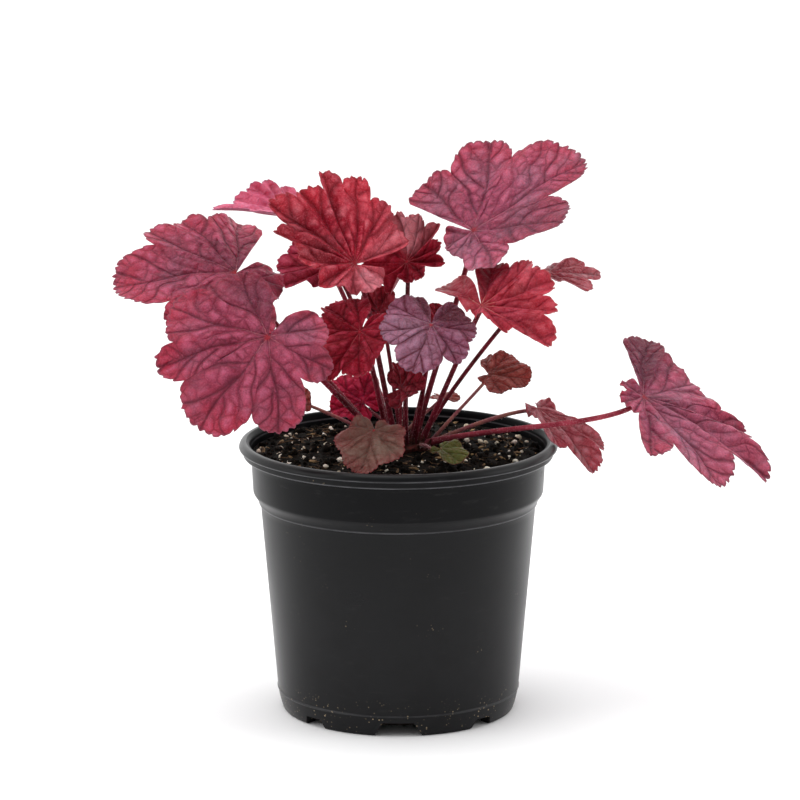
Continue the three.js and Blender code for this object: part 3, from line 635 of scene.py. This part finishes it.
def blade_net(rings, columns):
    """The faces of a closed blade, each with its corners (ring, column, lower face or not) and the
    strip that it lies in. Ring 0 is the point at the stalk."""
    faces = []
    for j in range(columns - 1):
        for r in range(rings):
            corners = [(r, j), (r + 1, j), (r + 1, j + 1), (r, j + 1)][:3 if r == 0 else 4]
            faces.append(([(*corner, 0) for corner in corners], j))
            faces.append(([(*corner, 1) for corner in reversed(corners)], j))
    loop = [(rings, j) for j in range(columns)]
    loop += [(r, columns - 1) for r in range(rings - 1, 0, -1)] + [(0, 0)]
    loop += [(r, 0) for r in range(1, rings)]
    for a, b in zip(loop, loop[1:] + loop[:1]):
        strip = min(a[1], b[1], columns - 2) if a[0] == b[0] else min(max(a[1], b[1]), columns - 2)
        faces.append(([(*a, 0), (*a, 1), (*b, 1), (*b, 0)], strip))
    return faces


def add_layer(piece, name, parts):
    """Three numbers for each corner of each face, for the materials to read."""
    layer = piece.data.attributes.new(name, "FLOAT_VECTOR", "CORNER")
    layer.data.foreach_set("vector", np.stack(parts, 1).astype(np.float32).ravel())


def blade_piece(leaf):
    """A blade as fine as the eye needs: two faces a thin leaf apart, with all its relief."""
    columns = blade_columns(leaf)
    turn, _, _, away, strips = columns
    rings, count = leaf["size"]["rings"], len(turn)
    share = (np.arange(1, rings + 1) / rings) ** 0.85
    middle, distance = blade_points(leaf, columns, share)
    start, _, _, az, _ = blade_axes(leaf)
    lift = grid_normals(middle) * (HALF_LEAF - 0.1 * share)[:, None, None]
    sheets = [[start + way * HALF_LEAF * az, *(middle + way * lift).reshape(-1, 3)] for way in (1, -1)]

    net = blade_net(rings, count)
    corners = np.array([corner for face, _ in net for corner in face])
    strip = strips[[j for face, j in net for _ in face]]
    ring, column, lower = corners.T
    index = np.where(ring == 0, 0, 1 + (ring - 1) * count + column) + lower * (1 + rings * count)
    sizes = [len(face) for face, _ in net]
    faces = [part.tolist() for part in np.split(index, np.cumsum(sizes)[:-1])]

    materials = [leaf["look"] + "_upper", leaf["look"] + "_under"]
    piece = new_object("blade_" + leaf["name"], sheets[0] + sheets[1], faces, materials)
    under = [int(all(corner[2] for corner in face)) for face, _ in net]
    piece.data.polygons.foreach_set("material_index", under)

    theta = turn[column]
    d = np.concatenate([np.zeros((1, count)), distance])[ring, column]
    s = np.concatenate([[0.0], share])[ring]
    across, phase = vein_fields(leaf, d, theta, away[column], strip)
    size = PATTERN / leaf["spacing"]
    x, y = d * np.cos(theta), d * np.sin(theta)
    lobe = 0.31 * strip[:, 0] + 7.7 * strip[:, 1] + 53 * leaf["seed"]
    add_layer(piece, "flat", [x * size + 200 * leaf["seed"], y * size, s])
    add_layer(piece, "veins", [across * size, phase, lobe])
    # painted shade on some parts of the blade, and painted light where the strength is negative
    shades = np.zeros_like(d)
    for middle_turn, half, strength in leaf["lobes"]:
        away_from = (np.degrees(theta) - middle_turn) / half
        shades += strength * np.exp(-away_from ** 2) * smooth(0.05, 0.4, s)
    add_layer(piece, "lobes", [shades.clip(0, 1), (-shades).clip(0, 1), 0 * d])
    settle(piece, LOOKS[leaf["look"]]["slot"], "leaf_" + leaf["name"] + "_blade")


# ------ stalks
def crown_top(r):
    return CROWN["top"] - CROWN["dome"] * (r / CROWN["radius"]) ** 2


def bezier(points, count):
    """Points along a cubic Bezier curve."""
    t = np.linspace(0, 1, count)[:, None]
    a, b, c, d = points
    return a * (1 - t) ** 3 + 3 * b * t * (1 - t) ** 2 + 3 * c * t ** 2 * (1 - t) + d * t ** 3


def stalk_line(leaf):
    """The line that a stalk follows, as in the solids, but right up to the blade."""
    dx, dy = leaf["foot"]
    start_at, ax, _, az, _ = blade_axes(leaf)
    bow = np.array(leaf["bow"], float)
    meet = radians(leaf["meet"])
    out = unit((dx, dy, CROWN["radius"] * 1.5))
    foot = crown_top(hypot(dx, dy)) + GAP + leaf["stalk"] * hypot(out[0], out[1])
    start = np.array([CROWN["x"] + dx, CROWN["y"] + dy, foot])
    under = BLADE_THICKNESS / 2 + GAP + 0.1 + leaf["stalk"] * sin(meet)
    end = start_at - az * under
    reach = np.linalg.norm(end - start)
    leave = unit(unit(end - start) + 0.3 * out)
    arrive = az * cos(meet) + ax * sin(meet)
    line = bezier((start, start + leave * reach * 0.35 + bow, end - arrive * reach * 0.18 + bow, end), 64)
    return np.concatenate([[start - out * 2.0], line, [start_at - az * 0.2]])


def line_frames(line):
    """Two unit vectors across a line at each of its points, carried along without a twist."""
    tangents = np.gradient(line, axis=0)
    tangents /= np.linalg.norm(tangents, axis=1, keepdims=True)
    across = unit(np.cross(tangents[0], (0.3, 1, 0.2)))
    sides = []
    for tangent in tangents:
        across = unit(across - tangent * np.dot(across, tangent))
        sides.append(across)
    sides = np.array(sides)
    return tangents, sides, np.cross(tangents, sides)


def tube(line, radii, count):
    """A closed round tube along a line, as points and faces."""
    _, side, other = line_frames(line)
    turn = full_turn(count)
    ring = side[:, None] * np.cos(turn)[:, None] + other[:, None] * np.sin(turn)[:, None]
    points = (line[:, None] + ring * np.asarray(radii)[..., None]).reshape(-1, 3)
    ends = [tuple(range(count - 1, -1, -1)), tuple(range(len(points) - count, len(points)))]
    return points, tube_faces(len(line), count) + ends


def hairs(line, radii, count, rng):
    """Fine closed spikes that stand out of a tube."""
    tangent, side, other = line_frames(line)
    parts = []
    for _ in range(count):
        i = rng.integers(2, len(line) - 2)
        turn = rng.uniform(0, 2 * pi)
        out = side[i] * cos(turn) + other[i] * sin(turn)
        foot = line[i] + tangent[i] * rng.uniform(-0.8, 0.8) + out * (radii[i] - 0.08)
        lean = out + tangent[i] * rng.normal(0, 0.35)
        lean = unit(lean + np.cross(out, tangent[i]) * rng.normal(0, 0.35))
        around = unit(np.cross(lean, tangent[i]))
        third = np.cross(lean, around)
        spike = [foot + HAIR_THICK * (around * cos(a) + third * sin(a)) for a in (0, 2.1, 4.2)]
        spike.append(foot + lean * HAIR_LONG * rng.uniform(0.5, 1.2))
        parts.append((spike, [(0, 1, 3), (1, 2, 3), (2, 0, 3), (2, 1, 0)]))
    return join_parts(parts)


def petiole_piece(leaf, rng):
    """A stalk: flared at its foot, slightly ribbed, with pale hairs."""
    line = stalk_line(leaf)
    t = np.linspace(0, 1, len(line))
    radii = leaf["stalk"] * (1 + 0.55 * np.exp(-t / 0.06) - 0.1 * t)
    ribs = radii[:, None] * (1 + 0.04 * np.cos(3 * full_turn(STALK_SIDES)))
    ribs[-1] *= 0.55
    stalk = tube(line, ribs, STALK_SIDES)
    length = np.linalg.norm(np.diff(line, axis=0), axis=1).sum()
    fuzz = hairs(line, radii, int(length * HAIRS_PER_MM), rng)
    kind = STALK_KINDS.get(leaf["name"], "petiole_dark")
    piece = new_object("petiole_" + leaf["name"], *join_parts([stalk, fuzz]), [kind, "hair"])
    piece.data.polygons.foreach_set("material_index", [0] * len(stalk[1]) + [1] * len(fuzz[1]))
    slot = "petiole_pale" if kind == "petiole_pale" else "petiole_dark"
    settle(piece, slot, "leaf_" + leaf["name"] + "_petiole")


def petiole_material(name, *colours):
    """Mottled in two colours with specks of a third, and dusky at its foot."""
    shader = Shader(name, IOR=1.45, Specular_IOR_Level=0.16, Sheen_Weight=0.12, Sheen_Roughness=0.3,
                    Sheen_Tint="e0a0a8")
    place, _, _, height = shader.place()
    patches = noise(place, 90, 3, 0.6)
    specks = noise(place, 900, 2, 0.6)
    colour = paint(mix(step(patches, 0.35, 0.65), colours[0], colours[1]),
                   (step(specks, 0.5, 0.75, 0.0, 0.5), colours[2]),
                   (step(height, 0.141, 0.153, 0.55, 0.0), "241014"))
    shader.finish(colour, step(patches, 0.3, 0.7, 0.45, 0.6), bump(specks, 0.0002, 0.7))


# ------ crown
def scales(leaf, rng):
    """Two papery sheaths beside the foot of a stalk: narrow closed cones, bent outwards."""
    dx, dy = leaf["foot"]
    out = unit((dx, dy, 26))
    made = []
    for way in (-1, 1):
        turn = atan2(dy, dx) + way * rng.uniform(0.8, 2.0)
        beside = np.array([cos(turn), sin(turn), 0])
        foot = np.array([CROWN["x"] + dx, CROWN["y"] + dy, crown_top(hypot(dx, dy)) - 1.2]) + 1.6 * beside
        t = np.linspace(0, 1, 7)[:, None]
        line = foot + t * out * rng.uniform(3.5, 6.5)
        line = line + t ** 2 * beside * rng.uniform(0.3, 1.4)
        radii = np.array([1.1, 1.2, 1.1, 0.9, 0.65, 0.4, 0.12])[:, None] * np.ones(8)
        made.append(tube(line, radii, 8))
    return made


def crown_piece(rng):
    """The woody stock with the scales that wrap the feet of the stalks."""
    count, rows = 64, 20
    turn = full_turn(count)
    radii = np.linspace(0.02, 1, rows) * (CROWN["radius"] - 0.4)
    x = CROWN["x"] + radii[:, None] * np.cos(turn)
    y = CROWN["y"] + radii[:, None] * np.sin(turn)
    lumps = 0.9 * np.sin(x / 1.7) * np.cos(y / 1.9) + 0.5 * np.sin(x / 0.9 + y / 1.1)
    z = crown_top(radii)[:, None] - 0.6 + lumps * 0.6
    top = np.stack([x, y, z], -1).reshape(-1, 3)
    root = circles([(9, 118.0)], count) + (CROWN["x"], CROWN["y"], 0)
    faces = turned_over(tube_faces(rows + 1, count))
    ends = [tuple(range(count)), tuple(range((rows + 1) * count - 1, rows * count - 1, -1))]
    parts = [(np.concatenate([top, root]), ends[:1] + faces + ends[1:])]
    for leaf in LEAVES:
        parts.extend(scales(leaf, rng))
    settle(new_object("crown_stock", *join_parts(parts), ["crown_stock"]), "crown", "crown")


def crown_material():
    shader = Shader("crown_stock", IOR=1.45, Specular_IOR_Level=0.2)
    place, _, _, height = shader.place()
    grain = noise(place, 500, 4, 0.65)
    colour = mix(step(grain, 0.35, 0.65), "2a1512", "54241f")
    colour = mix(step(height, 0.142, 0.149, 0.0, 0.7), colour, "6c1c2c")
    shader.finish(colour, step(grain, 0.3, 0.7, 0.7, 0.9), bump(grain, 0.0005))


# ------ pot
# The pot's profile, as radius and height: its underside, its outside upwards, its inside downwards.
POT_UNDERSIDE = pairs("0 0,36 0,38 3,52.5 3,54.5 0.4,55.2 0")
POT_OUTSIDE = pairs(
    "59.5 0,60.5 0.5,61 1.7,61.7 4,62.3 6.6,62.9 10,63 10.5,63.35 10.9,63.4 11.4,63.1 11.9,64 22,66.6 52,"
    "69.4 85,71.2 106.1,71.4 108.8,71.6 109.2,72.1 109.4,72.4 109.8,72.45 110.4,72.7 111.3,73.5 112.8,"
    "74.4 114.1,75 115,75.3 115.8,75.4 116.8,75.75 123,76.1 131,76.2 133,76.6 133.8,77.6 134.2,79.4 134.3,"
    "80.1 134.6,80.4 135.1,80.35 135.8,80.15 136.8,80.15 137.4,80.5 137.8,81.4 138,82.1 138.2,82.5 138.6,"
    "82.6 139.1,82.4 139.7,82.1 140.4,81.6 141.2,80.9 141.7,80 142,78.8 142,77.8 141.6,77 140.7,76.5 139.2"
)
POT_INSIDE = pairs("76.2 136,74.7 131.8,73.8 116.6,70 109.5,61.5 10.5,57.5 5,38.4 5,36 2,0 2")
POT_SEGMENTS = 192
POT_SHARP = 35  # edges sharper than this, in degrees, stay sharp
NOTCHES = [  # width at the foot and the top, height, angle of the first of four
    (26, 16, 7.6, 0),
    (15, 10, 5, 45),
]
NOTCH_REACH = (47, 70)
SEEN_INSIDE = 0.12  # metres: the inner wall above this height takes the darker copy of the plastic, as painted shade
# heights in metres of the collar under the rim, which takes a darker copy of the plastic as painted shade
SHADED_COLLAR = (0.1155, 0.134)
EDGE_HIGHLIGHTS = [(0.1383, 0.3), (0.1347, 0.3), (0.1097, 0.22), (0.0112, 0.1)]  # painted highlight lines along the rim's tiers, the shoulder and the foot: height, strength


def notch_block(foot, top, height, angle):
    """What a drain notch takes out of the foot: a trapezium pushed out along the radius."""
    outline = [(-foot / 2, -1), (foot / 2, -1), (top / 2, height), (-top / 2, height)]
    c, s = cos(radians(angle - 90)), sin(radians(angle - 90))
    points = [(c * r - s * x, s * r + c * x, z) for r in NOTCH_REACH for x, z in outline]
    faces = [(3, 2, 1, 0), (4, 5, 6, 7), (0, 1, 5, 4), (1, 2, 6, 5), (2, 3, 7, 6), (3, 0, 4, 7)]
    return np.array(points), faces


def pot_piece():
    """The pot, turned from its profile, with its notches cut, and darker copies of its plastic as painted
    shade on the collar under the rim and on the upper inner wall.
    """
    profile = POT_UNDERSIDE + POT_OUTSIDE + POT_INSIDE
    middles = [[0, 0, profile[0][1]], [0, 0, profile[-1][1]]]
    points = np.concatenate([circles(profile[1:-1], POT_SEGMENTS), middles])
    plastic_lit_and_shaded = ["pot_plastic", "pot_plastic_inside", "pot_plastic_collar"]
    pot = new_object("pot_body", points, lathe_faces(len(profile) - 2, POT_SEGMENTS), plastic_lit_and_shaded, POT_SHARP)
    cuts = [notch_block(*notch[:3], notch[3] + 90 * i) for notch in NOTCHES for i in range(4)]
    cutter = new_object("pot_cutter", *join_parts(cuts), plastic_lit_and_shaded[:1])
    cut = pot.modifiers.new("notches", "BOOLEAN")
    cut.object, cut.operation, cut.solver = cutter, "DIFFERENCE", "EXACT"
    shaped = bpy.data.meshes.new_from_object(pot.evaluated_get(bpy.context.evaluated_depsgraph_get()))
    pot.modifiers.clear()
    pot.data = shaped
    # the upper inner wall and the collar take the darker copies of the plastic, as painted shade
    for face in shaped.polygons:
        x, y, z = face.center
        inward = face.normal.x * x + face.normal.y * y < 0
        face.material_index = 1 if z > SEEN_INSIDE and inward else 2 if SHADED_COLLAR[0] < z < SHADED_COLLAR[1] else 0
    shaped.set_sharp_from_angle(angle=radians(POT_SHARP))
    bpy.data.objects.remove(cutter)
    settle(pot, "pot_plastic", "pot")


def pot_material(name, gloss):
    """Satin black plastic with faint flow marks, scuffs on the collar and dust near the foot; a painted
    reflection lightens it towards the foot and painted highlight lines run along the edges of its tiers.
    """
    shader = Shader(name, IOR=1.47, Specular_IOR_Level=gloss)
    place, _, _, height = shader.place()
    smudge = step(noise(place, 42, 4, 0.65), 0.4, 0.7, 0.0, 0.45)
    streak = after("ShaderNodeMapping", {0: place, 1: (0, 0, 0), 3: (0.25, 0.25, 1)})
    scuffs = noise(streak, 260, 4, 0.7)
    worn = times(step(scuffs, 0.56, 0.8), step(height, 0.100, 0.133, 0.25, 1.0))
    # painted reflection: the black is lighter towards the foot
    colour = paint(mix(step(height, 0.03, 0.11), "101012", "060608"), (smudge, "030304"),
                   (times(worn, 0.12), "6a6866"))
    # painted highlight lines along the edges, broken up by the scuffs
    for edge, strength in EDGE_HIGHLIGHTS:
        edge_highlight = times(step(apart(height, edge), 0.0001, 0.0007, strength, 0.0),
                       step(scuffs, 0.35, 0.6, 0.5, 1.0))
        colour = mix(edge_highlight, colour, "8c8c90")
    specks = times(step(cells(place, 620), 0.12, 0.32, 1.0, 0.0), step(cells(place, 620, 1), 0.45, 0.7))
    low = times(step(height, 0.004, 0.022, 1.0, 0.0), step(noise(place, 70, 3, 0.6), 0.44, 0.6))
    few = times(step(noise(place, 55, 2, 0.6), 0.62, 0.76), 0.3)
    dust = times(specks, most(low, few))
    colour = mix(times(dust, 0.9), colour, "c4ae8c")
    rough = plus(step(noise(place, 14, 3), 0.3, 0.7, 0.27, 0.37), times(worn, 0.15))
    normal = bump(dust, 0.0004, 0.7, under=bump(noise(place, 2600), 0.00003, 0.6))
    shader.finish(colour, rough, normal)


# ------ potting mix
PLUG = pairs("74.3 131.4,73.5 116.6,69.7 109.5,61.2 10.8,57.2 5.3,38.1 5.3,35.7 2.3")
CRUMBS = [(3.1, 0.5), (1.9, 0.4), (1.2, 0.28), (0.75, 0.2)]  # scale and height of each sum of waves


def soil_height(x, y):
    """Height of the mix, with the mound and lumps of its solid."""
    inside = np.maximum(0, 1 - (x * x + y * y) / 74 ** 2)
    lumps = np.sin(x / 5.6 + 1.3) * np.cos(y / 5.1) + 0.6 * np.sin(x / 8.9 - y / 7.3)
    return SOIL_LEVEL + SOIL_MOUND * inside + SOIL_LUMP * lumps * np.minimum(1, 4 * inside)


def soil_crumb(x, y):
    """The mix's own fine height."""
    total = 0.0
    for scale, height in CRUMBS:
        a = np.sin(x / scale + 2 * np.sin(y / (1.7 * scale)))
        b = np.cos(y / scale + 2 * np.sin(x / (1.9 * scale) + 1))
        total = total + height * a * b
    return total


def soil_piece():
    """The mix as one closed body: a fine crumbly top over a plain plug."""
    segments, rings = 220, 74
    turn = full_turn(segments)
    radii = np.linspace(1 / rings, 1, rings) * SOIL_EDGE
    x, y = radii[:, None] * np.cos(turn), radii[:, None] * np.sin(turn)
    fade = np.minimum(1, (SOIL_EDGE + 1 - radii) / 3)[:, None]
    z = soil_height(x, y) + soil_crumb(x, y) * fade
    top = np.stack([x, y, z], -1).reshape(-1, 3)
    middles = [[0, 0, z[0].mean()], [0, 0, PLUG[-1][1]]]
    points = np.concatenate([top, circles(PLUG, segments), middles])
    faces = turned_over(lathe_faces(rings + len(PLUG), segments))
    settle(new_object("soil_surface", points, faces, ["soil"], 180), "potting_mix", "potting_mix")


def ball():
    """Points and faces of a subdivided icosahedron of radius 1."""
    mesh = bmesh.new()
    bmesh.ops.create_icosphere(mesh, subdivisions=2, radius=1)
    points = np.array([v.co for v in mesh.verts])
    faces = [tuple(v.index for v in face.verts) for face in mesh.faces]
    mesh.free()
    return points, faces


def scattered(count, rng, sizes, shape, rough, sink):
    """Lumps strewn over the mix: balls squashed by shape, roughened, turned and half sunk."""
    points, faces = ball()
    parts = []
    for _ in range(count):
        r, turn = STREWN * sqrt(rng.random()), rng.uniform(0, 2 * pi)
        x, y = r * cos(turn), r * sin(turn)
        size = sizes[0] + (sizes[1] - sizes[0]) * rng.random() ** 2
        if r + size > STREWN + 0.5:
            continue
        bumps = 1 + rough * rng.normal(0, 1, len(points))[:, None].clip(-1.6, 1.6)
        lump = points * bumps * size * np.array(shape) * rng.uniform(0.75, 1.25, 3)
        axis, angle = unit(rng.normal(0, 1, 3)), rng.uniform(0, 2 * pi)
        if shape[2] < 0.5:
            axis = unit(np.array([0, 0, 1]) + rng.normal(0, 0.12, 3))
        lump = np.array([rotated(p, axis, angle) for p in lump])
        z = float(soil_height(x, y) + soil_crumb(x, y))
        parts.append((lump + (x, y, z + size * shape[2] * (0.5 - sink)), faces))
    return join_parts(parts)


def fibres(count, rng):
    """Thin roots and peat threads lying on the mix."""
    parts = []
    for _ in range(count):
        r, heading = 68 * sqrt(rng.random()), rng.uniform(0, 2 * pi)
        turn = rng.uniform(0, 2 * pi)
        x, y = r * cos(turn), r * sin(turn)
        pace, line = rng.uniform(0.5, 1.1), []
        for _ in range(12):
            line.append((x, y, float(soil_height(x, y)) + 0.9 + rng.uniform(0, 0.5)))
            heading += rng.normal(0, 0.35)
            x, y = x + pace * cos(heading), y + pace * sin(heading)
        if all(hypot(px, py) < STREWN - 0.5 for px, py, _ in line):
            parts.append(tube(np.array(line), np.full((12, 4), rng.uniform(0.1, 0.22)), 4))
    return join_parts(parts)


def mix_pieces(rng):
    """Everything that lies in and on the mix."""
    made = [
        ("soil_clods", scattered(900, rng, (0.6, 2.6), (1, 1, 0.8), 0.16, 0.45), "soil", 180),
        ("perlite", scattered(220, rng, (0.35, 2.0), (1, 0.9, 0.8), 0.12, 0.3), "perlite", 60),
        ("bark_bits", scattered(210, rng, (0.8, 3.4), (1, 0.3, 0.25), 0.12, 0.1), "bark", 40),
        ("peat_fibres", fibres(150, rng), "fibre", 180),
    ]
    for name, (points, faces), material, angle in made:
        settle(new_object(name, points, faces, [material], angle), "potting_mix")


def soil_material():
    shader = Shader("soil", IOR=1.4, Specular_IOR_Level=0.12)
    place = shader.place()[0]
    grain = noise(place, 700, 5, 0.65)
    colour = paint(mix(step(grain, 0.35, 0.68), "020201", "17100a"),
                   (step(noise(place, 120, 3, 0.6), 0.45, 0.7, 0.0, 0.55), "0a0604"),
                   (step(cells(place, 900), 0.08, 0.2, 0.5, 0.0), "7c6244"))
    shader.finish(colour, step(grain, 0.3, 0.7, 0.75, 0.95), bump(grain, 0.0009))


def grain_material(name, light, dark, rough, scale):
    """A mottled mineral or wood finish in two colours that differ from lump to lump."""
    shader = Shader(name, IOR=1.45, Specular_IOR_Level=0.3)
    place = shader.place()[0]
    grain = noise(place, scale, 4, 0.65)
    colour = mix(step(noise(place, 160), 0.35, 0.65), light, dark)
    colour = mix(step(grain, 0.4, 0.75, 0.0, 0.6), colour, dark)
    shader.finish(colour, rough, bump(grain, 0.0004))


# ------ studio
FLOOR = 40000  # half its width


def studio_floor():
    shader = Shader("studio_floor", Roughness=0.8, Specular_IOR_Level=0.1)
    shader.finish(mix(noise(shader.place()[0], 3), "f8f8f9", "fbfbfb"))
    corners = FLOOR * np.array([(-1, -1, 0), (1, -1, 0), (1, 1, 0), (-1, 1, 0)])
    new_object("studio_floor", corners, [(0, 1, 2, 3)], ["studio_floor"])


def soft_light(name, place, aim, size, power):
    """A square studio softbox."""
    lamp = bpy.data.lights.new(name, "AREA")
    lamp.shape, lamp.size, lamp.energy = "SQUARE", size, power
    light = place_object(name, lamp)
    light.location = place
    light.rotation_euler = (Vector(aim) - Vector(place)).to_track_quat("-Z", "Y").to_euler()


def studio_world():
    """A white tent: bright behind and at the sides, dimmer from the front."""
    world = bpy.data.worlds.new("studio")
    bpy.context.scene.world = world
    world.use_nodes = True
    tree = world.node_tree
    tree.nodes.clear()
    depth = split(add_node(tree, "ShaderNodeTexCoord", {}))[2]
    light = after("ShaderNodeBackground", {"Strength": step(depth, -0.9, 0.6, 0.55, 1.9)})
    put(tree.nodes.new("ShaderNodeOutputWorld").inputs[0], light)


def camera():
    """Looks along +Y and a little down, as far off as a long lens."""
    lens = bpy.data.cameras.new("camera")
    lens.lens, lens.sensor_width = 182.7, 36
    lens.clip_start, lens.clip_end = 0.1, 100
    placed = place_object("camera", lens)
    distance, down = 2.1, radians(12.2)
    placed.location = (0.0009, -distance * cos(down), 0.163 + distance * sin(down))
    placed.rotation_euler = (radians(90) - down, 0, 0)
    bpy.context.scene.camera = placed


# ------ build
pot_material("pot_plastic", 0.2)
# copies of the same plastic that reflect less, as painted shade: the collar under the rim and the inner
# wall
pot_material("pot_plastic_collar", 0.12)
pot_material("pot_plastic_inside", 0.03)
soil_material()
grain_material("perlite", "f4f0e4", "d6c8ac", 0.7, 900)
grain_material("bark", "b49468", "3a2616", 0.8, 1200)
grain_material("fibre", "84684c", "3c2a1c", 0.8, 900)
crown_material()
petiole_material("petiole_dark", "46040f", "701628", "a4485a")
petiole_material("petiole_red", "7c2030", "a03848", "c0707c")
petiole_material("petiole_pale", "94505a", "a86c60", "c09080")
grain_material("hair", "f0d8d8", "e0b8bc", 0.5, 900)
for kind, tints in LOOKS.items():
    blade_material(kind + "_upper", tints)
    underside_material(kind + "_under", tints)

camera()
studio_floor()
studio_world()
soft_light("top", (-0.3, -0.2, 1.9), (0, 0, 0.2), 1.6, 16)
soft_light("left", (-1.7, -0.7, 0.9), (0, 0, 0.15), 1.1, 9)
soft_light("right", (1.8, -0.3, 0.8), (0, 0, 0.15), 1.0, 5)

RANDOM = np.random.default_rng(SEED)
pot_piece()
soil_piece()
mix_pieces(RANDOM)
crown_piece(RANDOM)
for number, row in enumerate(LEAVES):
    row["seed"] = number
    blade_piece(row)
    petiole_piece(row, RANDOM)

bpy.context.scene.view_settings.view_transform = "Standard"
bpy.context.view_layer.update()
